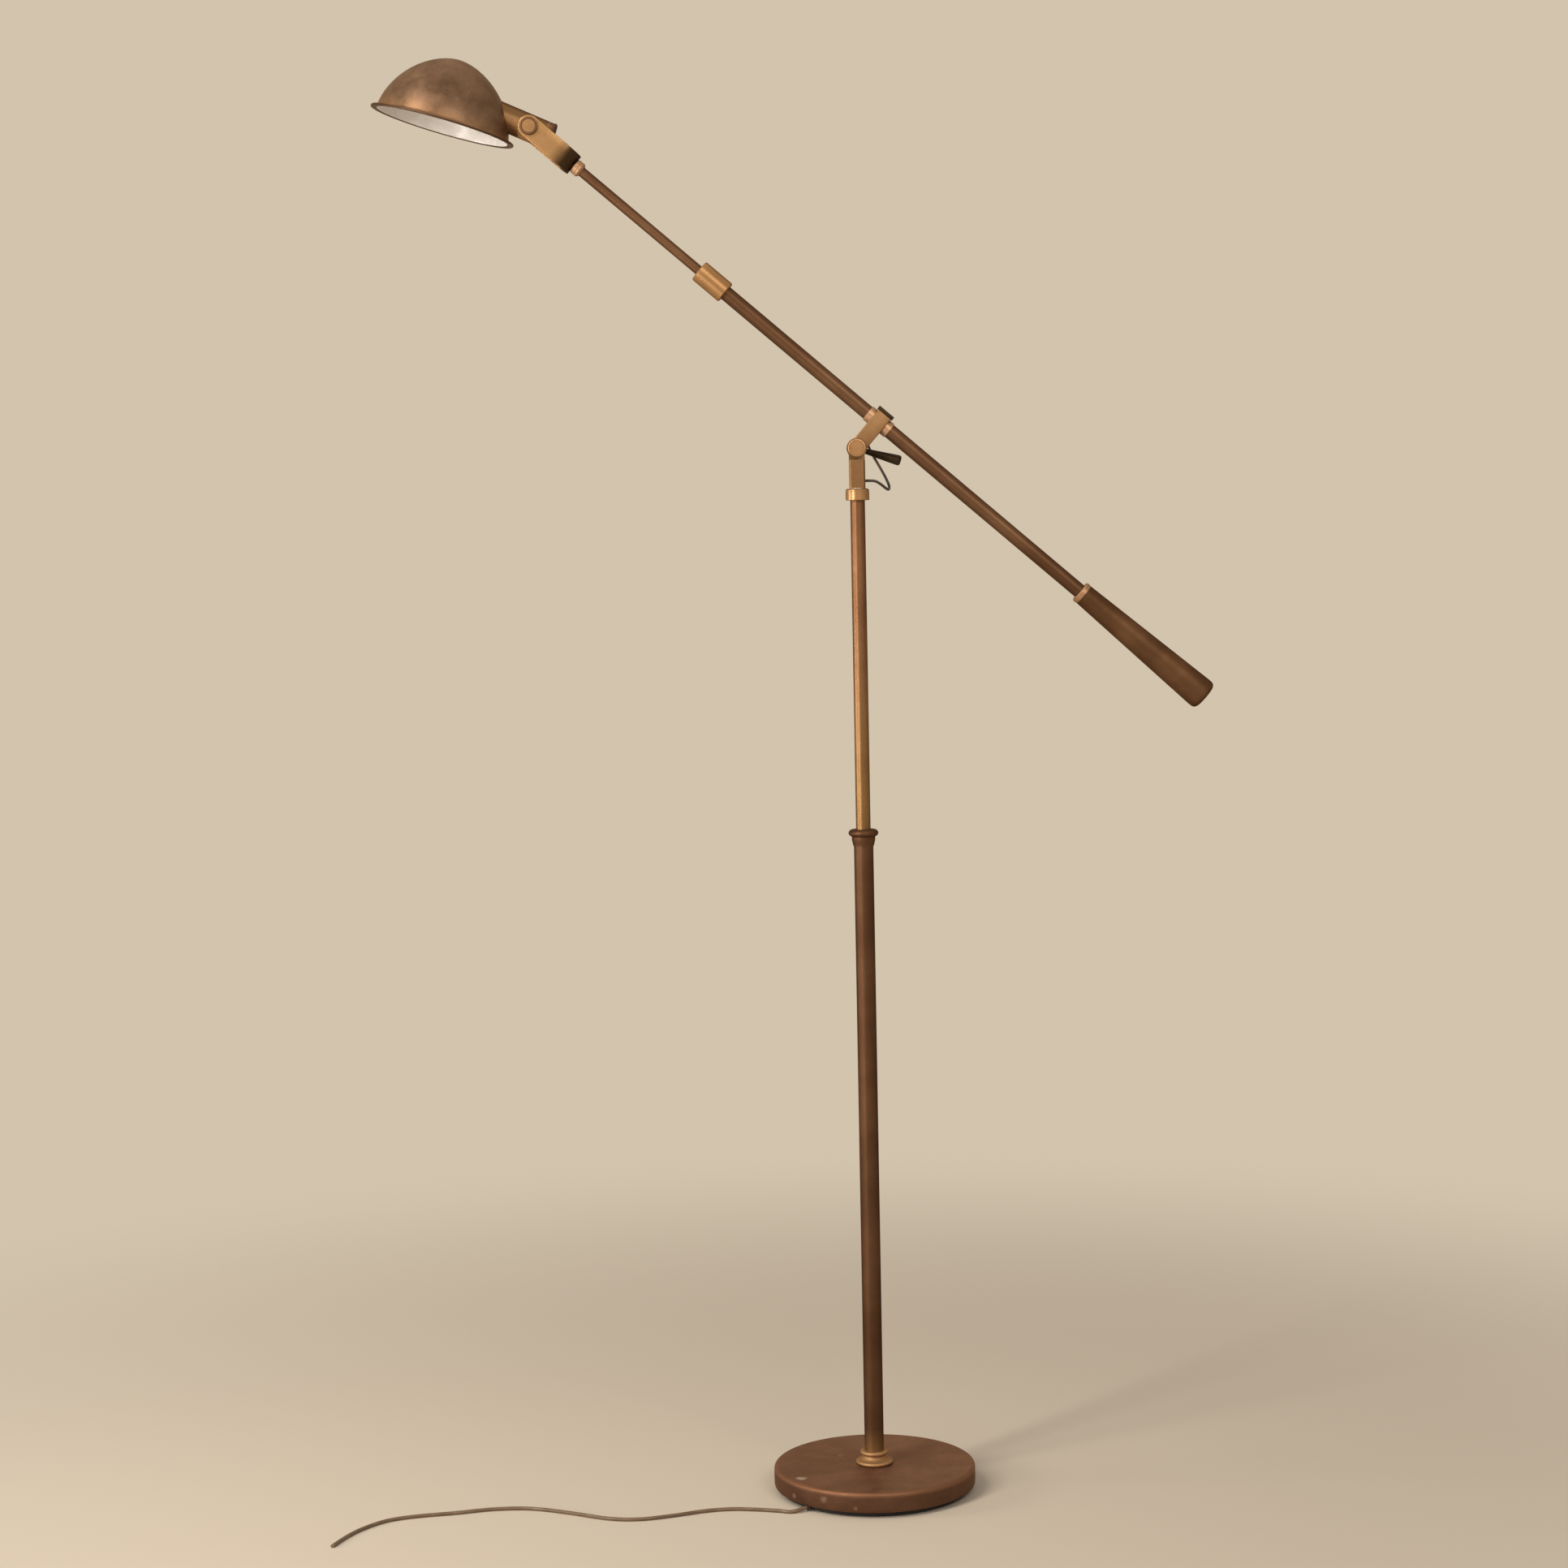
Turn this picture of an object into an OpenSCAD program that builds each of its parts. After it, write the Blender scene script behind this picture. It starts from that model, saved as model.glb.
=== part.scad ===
// Bridge floor lamp: a weighted round base, a column in two telescoping tubes, a knuckle
// that swivels and tilts, a counterbalanced boom with a sliding rod, and a domed head in a yoke.
// Millimetres. +Z is up, the origin is on the floor at the centre of the base, and the boom
// lies over the X axis with the head on the -X side and the counterweight on the +X side.

/* [Base] */
// Diameter of the base shell
base_d = 266; // [220:1:300]
// Height of the shell's top above the floor
base_h = 34; // [32:1:44]
// Gap between the floor and the shell's lower edge
base_gap = 8.2; // [8.2:0.1:9.4]
// Wall of the spun shell
shell_wall = 1.6; // [1.2:0.1:2]
// Radius of the shell's rounded edge
edge_r = 5; // [3:0.5:7]
// Thickness of the felt pad
pad_t = 2.6; // [2:0.1:2.6]
// Radial gap between the shell and the iron weight
weight_gap = 6; // [3:0.5:10]
// Step from the weight's rim in to the felt's rim
pad_inset = 6; // [4:0.5:10]
// Thickness of the weight's disc
weight_t = 20; // [14:0.5:22]
// Radius of the raised hub that carries the shell
hub_r = 34; // [32:0.5:50]
// Radius of the wiring recess under the hub
recess_r = 28; // [26:0.5:30]
// Iron left above the wiring recess
hub_roof = 6.4; // [4:0.2:7]

/* [Base fixings] */
// Radius of the threaded nipple
nipple_r = 5; // [4.5:0.1:6]
// Radius of the nipple's bore
nipple_bore_r = 3.6; // [3:0.1:3.8]
// Nipple that shows below its nut
nipple_tail = 1.5; // [1:0.1:2]
// Radius of the nut across its corners
nut_r = 9.8; // [9:0.1:12]
// Height of the nut
nut_t = 5; // [4:0.2:6]
// Radius of the washer over the nut
washer_r = 14; // [12:0.5:20]
// Thickness of the washer over the nut
washer_t = 1.6; // [1:0.1:2]

/* [Column] */
// Diameter of the lower tube
lower_d = 25.4; // [24:0.1:28]
// Wall of the lower tube
lower_wall = 1.5; // [1.2:0.1:2]
// Length of the lower tube
lower_len = 834; // [600:1:900]
// Length of the plug in the foot of the lower tube
plug_len = 20; // [15:1:40]
// Height of the spool at the foot of the column
spool_h = 18; // [15:0.5:30]
// Radius of the spool's foot
spool_foot_r = 24.5; // [20:0.5:26]
// Radius of the spool's top ring
spool_ring_r = 18.8; // [16.6:0.1:20]
// Height of the bead at the spool's foot
spool_foot_h = 5; // [3.5:0.1:6]
// Height of the bead around the spool's top
spool_ring_h = 5.8; // [4:0.1:6.5]
// Height of the slope above the spool's foot
spool_slope_h = 3.6; // [2:0.1:4.5]
// Wall of the spool's neck around the tube
spool_wall = 1.5; // [1:0.1:2.5]
// Floor of the spool under the tube
spool_floor = 2; // [1.5:0.1:3]
// Height of the lower tube's cap
cap_h = 21.5; // [20:0.5:30]
// Diameter of the bead around the cap
cap_bead_d = 39; // [35:0.5:44]
// Height of that bead
cap_bead_h = 9; // [7:0.5:10]
// Diameter of the cap's neck
cap_neck_d = 30.6; // [29.5:0.1:34]
// Height of the cap's tapered skirt
cap_taper_h = 7.5; // [4:0.1:9]
// Wall of the skirt's lower edge
cap_skirt_wall = 0.9; // [0.5:0.1:1.5]
// Cap above the end of the lower tube
cap_lip = 7; // [4:0.5:8]
// Length of the bush in the top of the lower tube
bush_len = 28; // [15:1:60]
// Diameter of the upper tube
upper_d = 19; // [18:0.1:20]
// Wall of the upper tube
upper_wall = 1.5; // [1.2:0.1:1.7]
// Upper tube that shows between the cap and the ring
upper_show = 427; // [400:1:480]
// Upper tube inside the lower one, under the cap's top
upper_inside = 397; // [250:1:420]
// Length of the guide sleeve on the upper tube's inner end
guide_len = 25; // [15:1:60]

/* [Swivel and post] */
// Diameter of the ring under the knuckle
ring_d = 30.6; // [28:0.2:36]
// Height of that ring
ring_h = 15.2; // [14:0.2:20]
// Chamfer on the ring's top edge
ring_chamfer = 2; // [0.5:0.1:2.4]
// Web in the ring that the swivel stem passes
ring_web = 6; // [4:0.2:8]
// Thickness of the washer that the post turns on
swivel_washer_t = 0.6; // [0.4:0.1:1.5]
// Radius of the swivel stem
stem_r = 5; // [4.5:0.1:5.4]
// Thickness of the nut that keeps the stem
stem_nut_t = 6; // [4:0.2:8]
// Air between that nut and the upper tube's bore
stem_nut_gap = 0.4; // [0.2:0.1:0.8]
// Step from the ring's top edge in to the swivel washer
washer_inset = 2.5; // [1:0.1:4]
// Bore through the stem for the lead
wire_r = 2.2; // [2.1:0.1:2.5]
// Width of the post across the lamp's face
post_w = 20.6; // [19.6:0.2:21]
// Depth of the post, front to back
post_depth = 20; // [18:0.2:22]
// Chamfer on the post's upright edges
post_chamfer = 2.2; // [1:0.1:3]
// Height of the pivot above the ring
pivot_rise = 52; // [46:0.5:60]
// Height of the lead's outlet above the ring
outlet_rise = 9.8; // [8:0.2:12]
// Thickness of the post's tongue
tongue_t = 8; // [6:0.2:8.4]
// Radius of the tongue's round end
tongue_r = 13; // [12:0.1:13.4]
// Post's shoulder below the tongue's round end
shoulder_drop = 2.5; // [1.5:0.1:4]

/* [Clamp] */
// Width of the clamp arm across the lamp's face
arm_w = 20.6; // [20:0.2:22]
// Depth of the clamp arm, front to back
arm_depth = 24.6; // [24.2:0.2:28]
// Chamfer on the arm's long edges
arm_chamfer = 1.6; // [0.8:0.1:2]
// Distance from the pivot to the boom's axis
boom_offset = 44; // [42:0.5:50]
// Block above the boom's axis
block_rise = 12; // [11.6:0.1:14]
// Height of the lead's inlet in the arm above the pivot
inlet_rise = 21; // [19:0.5:24]
// Thickness of the fibre washers in the fork
pivot_washer_t = 0.6; // [0.4:0.1:1]
// Radius of the pivot bolt
bolt_r = 4; // [3.5:0.1:4.5]
// Radius of the bolt's round cap
bolt_cap_r = 11.6; // [10:0.1:12.6]
// Thickness of the bolt's round cap
bolt_cap_t = 4; // [3:0.2:6]
// Radius of that cap's rounded edge
bolt_cap_round = 1.2; // [0.6:0.1:2]
// Radius of the groove turned in the cap's face
bolt_groove_r = 6.4; // [5:0.1:8]
// Depth of that groove
groove_depth = 0.8; // [0.4:0.1:1.2]
// Length of the sleeve around the boom
sleeve_len = 36; // [28:1:50]
// Wall of that sleeve
sleeve_wall = 1.1; // [0.8:0.1:1.2]
// Length of the dark plate over the block
plate_len = 24.4; // [22:0.2:30]
// Thickness of that plate
plate_t = 4.6; // [4:0.2:6]
// Radius of the grub screws through the plate
grub_r = 2; // [1.5:0.1:2.5]
// Distance between the grub screws
grub_pitch = 12; // [8:0.5:13]
// Grub screws below the plate's face
grub_sink = 0.6; // [0.2:0.1:1.5]
// Depth of the screws' sockets
grub_socket = 1.8; // [1:0.1:3]

/* [Tension lever] */
// Angle of the lever below level
lever_angle = 16.5; // [-20:0.5:40]
// Radius of the lever's boss
lever_boss_r = 8; // [7:0.1:10]
// Length of the boss along the pivot
lever_boss_len = 15; // [14.6:0.2:15]
// Floor of the boss over the bolt's end
lever_boss_floor = 3; // [2:0.2:5]
// Lever's axis behind the middle of the boss
lever_shift = 1; // [0:0.1:1.2]
// Reach of the lever from the pivot to its tip
lever_reach = 60; // [40:1:80]
// Radius of the lever where it leaves the boss
lever_thin_r = 3.2; // [2.5:0.1:4]
// Radius of the lever at its tip
lever_tip_r = 6.6; // [4.5:0.1:6.8]

/* [Boom] */
// Angle of the boom below level
boom_angle = 41; // [30:1:50]
// Diameter of the boom tube
boom_d = 19; // [18.6:0.1:19.2]
// Wall of the boom tube
boom_wall = 1.5; // [1.2:0.1:1.5]
// Boom that shows from the clamp's centre up to the collar
boom_up = 257; // [230:1:300]
// Boom that shows from the clamp's centre down to the counterweight
boom_down = 340.5; // [250:0.5:400]
// Boom tube inside the counterweight
boom_tail = 60; // [30:1:100]
// Diameter of the collar at the boom's upper end
collar_d = 29; // [26:0.2:34]
// Length of that collar
collar_len = 44; // [36:0.5:60]
// Boom tube inside the collar
collar_grip = 18; // [12:0.5:24]
// Length of the bush in the boom's upper end
boom_bush_len = 30; // [20:1:60]
// Flange of that bush in front of the tube
boom_bush_flange = 3; // [2:0.1:5]
// Chamfer on the collar's edges
collar_chamfer = 1; // [0.4:0.1:2]

/* [Counterweight] */
// Length of the counterweight
weight_len = 213; // [150:1:260]
// Radius of the counterweight at its neck
weight_neck_r = 14; // [13:0.1:15]
// Radius of the counterweight at its end
weight_end_r = 20.8; // [18:0.1:24]
// Length of the ring at its neck
weight_ring_len = 6.5; // [4:0.5:10]
// Radius of the ring at its neck
weight_ring_r = 14.6; // [14:0.1:17]
// Chamfer on that ring's front edge
weight_ring_chamfer = 1; // [0.4:0.1:2]
// Wall of the counterweight's shell
weight_wall = 1.4; // [1:0.1:2]
// Length of the turned cap in its end
weight_cap_len = 13; // [10:0.5:20]
// Radius of that cap's rounded edge
weight_cap_round = 6; // [3:0.5:8]
// Air left around the iron core
core_gap = 0.05; // [0:0.05:0.5]

/* [Rod] */
// Diameter of the sliding rod
rod_d = 12.7; // [12:0.1:12.8]
// Wall of the sliding rod
rod_wall = 1.5; // [1:0.1:1.5]
// Rod that shows between the collar and the ferrule
rod_show = 196; // [190:1:260]
// Inner end of the rod, from the clamp's centre
rod_inner = 115; // [100:1:125]
// Length of the guide sleeve on the rod's inner end
rod_guide_len = 18; // [10:1:30]
// Diameter of the ferrule at the rod's outer end
ferrule_d = 19.5; // [17:0.1:24]
// Length of the ferrule
ferrule_len = 12; // [10:0.5:20]
// Front wall of the ferrule
ferrule_front = 5; // [3:0.2:6]
// Chamfer on the ferrule's front edge
ferrule_chamfer = 1.5; // [0.5:0.1:2.5]
// Length of the slope at the ferrule's back
ferrule_slope = 2.5; // [1:0.1:4]

/* [Yoke] */
// Distance from the yoke's closed end to the head's pivot
yoke_reach = 73.3; // [66:0.1:90]
// Gap between the ferrule and the yoke
yoke_gap = 0.3; // [0.2:0.1:0.5]
// Half of the gap between the yoke's cheeks
yoke_half_gap = 18.6; // [18.6:0.1:20]
// Thickness of the yoke's strap
yoke_t = 3.5; // [2.5:0.1:5]
// Width of the yoke's strap
yoke_w = 28; // [24:0.5:28]
// Radius of the yoke's stem in the ferrule
yoke_stem_r = 3.6; // [3.2:0.1:4]
// Bore of the yoke's stem for the lead
yoke_bore_r = 2; // [1.5:0.1:2.2]
// Thickness of the clip that keeps the stem
clip_t = 1.5; // [1:0.1:2.5]

/* [Head] */
// Angle of the housing's axis below level
head_angle = 24; // [10:1:35]
// Shade's rim nearer to level than the housing, in degrees
shade_lean = 7.5; // [0:0.5:10]
// Radius of the lamp housing
housing_r = 17.5; // [17:0.1:17.5]
// Wall of the lamp housing
housing_wall = 1.5; // [1.2:0.1:1.7]
// Housing behind the head's pivot
housing_tail = 27; // [20:0.5:30]
// Thickness of the housing's rear cap
housing_cap_t = 4; // [3:0.2:6]
// Length of the rear cap's plug in the housing
housing_plug_len = 3; // [2:0.2:6]
// Chamfer on the rear cap's edge
housing_cap_chamfer = 1; // [0.4:0.1:2]
// Lip of the rear cap around the housing
housing_cap_lip = 0.5; // [0.2:0.1:0.6]
// Radius of the hole in the rear cap for the lead
tail_hole_r = 2.5; // [2:0.1:4]
// Radius of the round bosses that the yoke holds
boss_r = 9; // [8:0.2:11]
// Thickness of the washers between boss and yoke
head_washer_t = 0.8; // [0.5:0.1:0.9]
// Radius of the screws that the head tilts on
trunnion_r = 4; // [3.5:0.1:4.5]
// Radius of their disc heads
trunnion_cap_r = 11.4; // [10:0.1:12.5]
// Thickness of their disc heads
trunnion_cap_t = 3.6; // [3:0.2:5]
// Radius of the disc heads' rounded edge
trunnion_cap_round = 1; // [0.5:0.1:1.5]
// Radius of the groove turned in their faces
trunnion_groove_r = 6.8; // [5:0.1:8]
// Reach of their tips from the head's middle
trunnion_tip = 12; // [11:0.2:13]

/* [Shade] */
// Radius of the dome where it meets the brim
dome_r = 86.5; // [84:0.5:92]
// Height of the dome over the rim
dome_h = 87.5; // [84:0.5:96]
// Fullness of the dome's curve, where 2 is an ellipse
dome_power = 1.78; // [1.7:0.02:2.1]
// Wall of the shade
shade_wall = 1.2; // [0.8:0.1:1.5]
// Width of the brim outside the dome, over its rolled edge
brim_w = 7.5; // [6:0.1:12]
// Radius of the rolled edge's wire
roll_r = 1.7; // [1.3:0.1:2]
// Distance from the dome's outside to the head's pivot, along the rim's plane
neck_show = 29.5; // [29:0.1:32]
// Height of the head's pivot over the rim
shade_drop = 28.5; // [27:0.5:32]
// Radius of the ring nut inside the shade
shade_nut_r = 19.8; // [19.2:0.2:21]
// Length of the ring nut inside the shade
shade_nut_len = 4; // [3:0.2:5]
// Height of the cove between the dome and the brim
cove_h = 3; // [2:0.1:5]

/* [Lamp holder and bulb] */
// Front of the lamp holder, from the head's pivot
holder_front = 46; // [44:0.5:46]
// Back of the lamp holder, from the head's pivot
holder_back = 8; // [7:0.5:9]
// Radius of the holder's socket
socket_r = 13.4; // [13.3:0.1:13.8]
// Floor of the holder behind its socket
socket_floor = 8; // [6:0.5:12]
// Thickness of the centre contact
contact_t = 1.5; // [1:0.1:2]
// Radius of the centre contact
contact_r = 5; // [3:0.5:8]
// Radius of the bulb's screw cap
bulb_cap_r = 13; // [12.6:0.1:13.1]
// Length of the bulb's screw cap
bulb_cap_len = 27; // [24:0.5:28]
// Radius of the bulb
bulb_r = 22; // [18:0.5:22]
// Wall of the bulb's glass
bulb_wall = 0.9; // [0.6:0.1:1.2]
// Wall of its screw cap
bulb_cap_wall = 0.8; // [0.4:0.1:1]
// Air between the bulb and the housing's front edge
bulb_air = 0.6; // [0.3:0.1:3]

/* [Switch] */
// Place of the switch in front of the head's pivot
switch_ahead = 22.5; // [22:0.5:23]
// Radius of the switch knob
knob_r = 5; // [4:0.1:5.2]
// Height of the switch knob
knob_h = 9; // [6:0.5:14]
// Height of the round foot under the knob's blade
knob_foot_h = 3.6; // [2:0.1:5]
// Thickness of the knob's blade
knob_blade = 3.6; // [2:0.1:5]
// Radius of the switch's spindle
spindle_r = 2; // [1.5:0.1:2.5]

/* [Leads] */
// Diameter of the mains lead
cord_d = 4.8; // [4:0.1:4.8]
// Diameter of the loop of lead past the knuckle
loop_d = 3.6; // [3:0.1:3.8]
// Direction of the mains lead's outlet in plan, in degrees
outlet_angle = -134; // [-150:1:-120]
// Radius of the grommet at the outlet
grommet_r = 4.3; // [3.6:0.1:4.6]
// Grommet outside the weight's rim
grommet_out = 4.6; // [3:0.2:5]
// Length of the lead that leaves the grommet straight
lead_straight = 3; // [2:0.5:6]
// Radius of the bend of the lead in the base
lead_bend_r = 14; // [13:0.5:15]

/* [Fits] */
// Radial play of a shaft in its bore
fit = 0.05; // [0.02:0.01:0.1]
// Air between parts that turn or slide past each other
air = 0.1; // [0.05:0.01:0.3]
// Air around a tube where it passes a cap
pass = 0.25; // [0.15:0.05:0.4]

/* [Hidden] */
$fn = 64;
dome_steps = 18;

bronze = [0.33, 0.22, 0.15];
brown_tube = [0.40, 0.29, 0.19];
aged_brass = [0.62, 0.45, 0.25];
brass = [0.72, 0.56, 0.30];
dark_metal = [0.14, 0.11, 0.09];
iron = [0.25, 0.25, 0.26];
steel = [0.65, 0.66, 0.68];
lead_brown = [0.35, 0.26, 0.17];

// base
base_r = base_d / 2;
weight_r = base_r - shell_wall - weight_gap;
pad_r = weight_r - pad_inset;
weight_top = base_h - shell_wall;
recess_top = weight_top - hub_roof;
nut_top = recess_top - washer_t;
nipple_bottom = nut_top - nut_t - nipple_tail;
column_foot_z = base_h + spool_floor;
lead_z = pad_t + cord_d / 2 + 0.3;
lead_bore_r = cord_d / 2 + air;
grommet_start = pad_r + 0.2;
grommet_end = weight_r + grommet_out;

// column
lower_r = lower_d / 2;
lower_bore_r = lower_r - lower_wall;
column_top_z = column_foot_z + lower_len;
cap_top_z = column_top_z + cap_lip;
upper_r = upper_d / 2;
upper_bore_r = upper_r - upper_wall;
ring_bottom_z = cap_top_z + upper_show;
ring_top_z = ring_bottom_z + ring_h;
web_bottom_z = ring_top_z - ring_web;
upper_foot_z = cap_top_z - upper_inside;

// swivel and post
washer_top_z = ring_top_z + swivel_washer_t;
post_z = washer_top_z + air;
pivot_z = ring_top_z + pivot_rise;
outlet_z = ring_top_z + outlet_rise;
stem_end_z = web_bottom_z - air - stem_nut_t;
shoulder_z = pivot_z - tongue_r - shoulder_drop;

// clamp, in the boom's frame: origin at the pivot, X along the boom, Z from pivot to boom
cheek_in = tongue_t / 2 + air + pivot_washer_t;
slot_end = tongue_r + 0.5;
block_top = boom_offset + block_rise;
boom_r = boom_d / 2;
boom_bore_r = boom_r - boom_wall;
sleeve_r = boom_r + sleeve_wall;
arm_half = arm_depth / 2;
lever_start = arm_half + air;
lever_y = lever_start + lever_boss_len / 2 + lever_shift;
bolt_end = lever_start + lever_boss_len - lever_boss_floor;

// boom
tube_front = boom_up + collar_grip;
collar_front = boom_up + collar_len;
weight_start = boom_down;
weight_end = boom_down + weight_len;
tube_back = boom_down + boom_tail;
rod_r = rod_d / 2;
rod_bore_r = rod_r - rod_wall;

// rod, yoke and head
ferrule_back = collar_front + rod_show;
ferrule_tip = ferrule_back + ferrule_len;
rod_front = ferrule_tip - ferrule_front;
yoke_close = ferrule_tip + yoke_gap;
head_x = -(yoke_close + yoke_reach);
yoke_outer = yoke_half_gap + yoke_t;
housing_bore_r = housing_r - housing_wall;
boss_y = yoke_half_gap - air - head_washer_t;
rim_r = dome_r + brim_w;
// Radius of the dome at a height over the rim
function dome_at(z, off = 0) =
  (dome_r - off) * pow(1 - pow(z / (dome_h - off), dome_power), 1 / dome_power);
shade_reach = dome_at(shade_drop) + neck_show;
// Place along the housing where the ring nut's top edge meets the dome's inside, by steps
function nut_seat(s, left) = left == 0 ? s : nut_seat(
  (shade_nut_r * sin(shade_lean) + shade_reach - dome_at(
    shade_drop + s * sin(shade_lean) + shade_nut_r * cos(shade_lean), shade_wall))
  / cos(shade_lean), left - 1);
nut_start = nut_seat(50, 30);
housing_nose = nut_start + shade_nut_len;

// lamp holder and bulb, from the head's pivot
contact_front = holder_back + socket_floor + contact_t;
glass_start = contact_front + bulb_cap_len;
bulb_neck_r = bulb_cap_r - bulb_cap_wall;
bulb_middle = housing_nose + sqrt(pow(bulb_r, 2) - pow(housing_bore_r - bulb_air, 2));

// The mains lead on the floor, from its outlet: X and Y of its points as it lies, in order
cord_route = [[-111, -102], [-128, -97], [-156, -90], [-190, -86], [-224, -92], [-264, -108],
  [-306, -120], [-347, -115], [-400, -88], [-450, -68], [-498, -67], [-549, -80],
  [-596, -90], [-632, -105], [-659, -134], [-677, -167], [-690, -203]];

// The loop of lead past the knuckle: X and Y from the pivot's axis, Z above the pivot
loop_route = [[23.5, 0.4, -43], [30.5, 2.6, -47], [36.6, 7, -51.8], [40.8, 13, -53.6],
  [41.8, 19.4, -49.2], [38.6, 23.8, -40.4], [32.8, 27, -28.8], [26.2, 29.3, -16.8],
  [19.8, 30.2, -5.4], [15.2, 27.8, 5.8], [13.8, 22.4, 13]];

function unit(v) = v / norm(v);
function tangent(path, i) =
  unit(path[min(i + 1, len(path) - 1)] - path[max(i - 1, 0)]);
function level_to(v, t) = unit(v - (v * t) * t);
// Normals that turn as little as they can from ring to ring
function normals(path, first) =
  [for (i = 0, n = level_to(first, tangent(path, 0)); i < len(path);
        i = i + 1, n = i < len(path) ? level_to(n, tangent(path, i)) : n) n];
// A smooth curve through points, with steps spans between each two
function through(a, b, c, d, u) = 0.5 * (2 * b + (c - a) * u
  + (2 * a - 5 * b + 4 * c - d) * u * u + (3 * b - a - 3 * c + d) * u * u * u);
function smooth(p, steps) = [for (i = [0 : len(p) - 2], k = [0 : steps - 1])
    through(p[max(i - 1, 0)], p[i], p[i + 1], p[min(i + 2, len(p) - 1)], k / steps),
  p[len(p) - 1]];

// A round tube along a path, closed at both ends
module sweep(path, r, sides, first) {
  n = normals(path, first);
  rings = [for (i = [0 : len(path) - 1]) let (t = tangent(path, i), b = cross(t, n[i]))
    for (k = [0 : sides - 1]) let (a = 360 * (k + 0.5) / sides)
      path[i] + r * (cos(a) * n[i] + sin(a) * b)];
  last = (len(path) - 1) * sides;
  walls = [for (i = [0 : len(path) - 2], k = [0 : sides - 1])
    let (a = i * sides + k, b = i * sides + (k + 1) % sides)
      each [[a, b, b + sides], [a, b + sides, a + sides]]];
  ends = [[for (k = [sides - 1 : -1 : 0]) k], [for (k = [0 : sides - 1]) last + k]];
  polyhedron(rings, concat(walls, ends));
}

module tube(r, bore, h) {
  difference() {
    cylinder(r = r, h = h);
    translate([0, 0, -1]) cylinder(r = bore, h = h + 2);
  }
}

// Turns a part made along Z so that it runs along +X
module along_x() {
  rotate([0, 90, 0]) children();
}

// Turns a part made along Z so that it runs along +Y
module along_y() {
  rotate([-90, 0, 0]) children();
}

module at_outlet(r) {
  rotate([0, 0, outlet_angle]) translate([r, 0, lead_z]) along_x() children();
}

module chamfered_bar(w, depth, chamfer, h) {
  linear_extrude(h) polygon([
    [-w / 2 + chamfer, -depth / 2], [w / 2 - chamfer, -depth / 2], [w / 2, -depth / 2 + chamfer],
    [w / 2, depth / 2 - chamfer], [w / 2 - chamfer, depth / 2], [-w / 2 + chamfer, depth / 2],
    [-w / 2, depth / 2 - chamfer], [-w / 2, -depth / 2 + chamfer]]);
}

// A ring with a half-round outside, from z = 0 to h
module bead(r, bore, h) {
  rotate_extrude() {
    translate([bore, 0]) square([r - h / 2 - bore, h]);
    intersection() {
      translate([r - h / 2, h / 2]) circle(r = h / 2);
      translate([bore, 0]) square([r, h]);
    }
  }
}

// Places a part given in the boom's own frame
module on_boom() {
  translate([0, 0, pivot_z]) rotate([0, boom_angle, 0]) children();
}

// The boom's axis as the X axis
module on_axis() {
  on_boom() translate([0, 0, boom_offset]) children();
}

// The head's own frame, with its origin on the head's pivot
module on_head() {
  on_axis() translate([head_x, 0, 0]) rotate([0, head_angle - boom_angle, 0]) children();
}

// The shade's own frame: the same origin, with the rim's plane level
module on_shade() {
  on_head() rotate([0, -shade_lean, 0]) children();
}

module base_pad() {
  color("dimgray") cylinder(r = pad_r, h = pad_t);
}

module base_weight() {
  color(iron) difference() {
    union() {
      translate([0, 0, pad_t]) cylinder(r = weight_r, h = weight_t);
      translate([0, 0, pad_t]) cylinder(r = hub_r, h = weight_top - pad_t);
    }
    cylinder(r = recess_r, h = recess_top);
    cylinder(r = nipple_r + pass, h = base_h);
    at_outlet(recess_r - 2) cylinder(r = lead_bore_r, h = weight_r);
    at_outlet(grommet_start) cylinder(r = grommet_r, h = weight_r);
  }
}

// Section of the shell: a flat top, a rounded edge and an upright side
module shell_section(r, top, edge, bottom) {
  translate([0, bottom]) square([r, top - edge - bottom]);
  translate([0, top - edge - 1]) square([r - edge, edge + 1]);
  intersection() {
    translate([r - edge, top - edge]) circle(r = edge);
    translate([0, top - edge]) square([r, edge]);
  }
}

module base_shell() {
  color(bronze) difference() {
    rotate_extrude() difference() {
      shell_section(base_r, base_h, edge_r, base_gap);
      shell_section(base_r - shell_wall, base_h - shell_wall, edge_r - shell_wall, base_gap - 2);
    }
    cylinder(r = nipple_r + pass, h = base_h + 1);
  }
}

module base_collar() {
  neck_r = lower_r + spool_wall;
  color(aged_brass) difference() {
    union() {
      translate([0, 0, base_h]) bead(spool_foot_r, 1, spool_foot_h);
      translate([0, 0, base_h]) cylinder(r = neck_r, h = spool_h);
      translate([0, 0, base_h + spool_foot_h])
        cylinder(r1 = spool_foot_r - spool_foot_h / 2, r2 = neck_r, h = spool_slope_h);
      translate([0, 0, base_h + spool_h - spool_ring_h]) bead(spool_ring_r, 1, spool_ring_h);
    }
    cylinder(r = nipple_r + pass, h = base_h + spool_h);
    translate([0, 0, column_foot_z]) cylinder(r = lower_r, h = spool_h);
  }
}

module column_plug() {
  color(steel) translate([0, 0, column_foot_z]) tube(lower_bore_r, nipple_r, plug_len);
}

module threaded_nipple() {
  color(steel) translate([0, 0, nipple_bottom])
    tube(nipple_r, nipple_bore_r, column_foot_z + plug_len - nipple_bottom);
}

module base_nut() {
  color(steel) translate([0, 0, nut_top - nut_t]) difference() {
    cylinder(r = nut_r, h = nut_t, $fn = 6);
    translate([0, 0, -1]) cylinder(r = nipple_r, h = nut_t + 2);
  }
}

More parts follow.
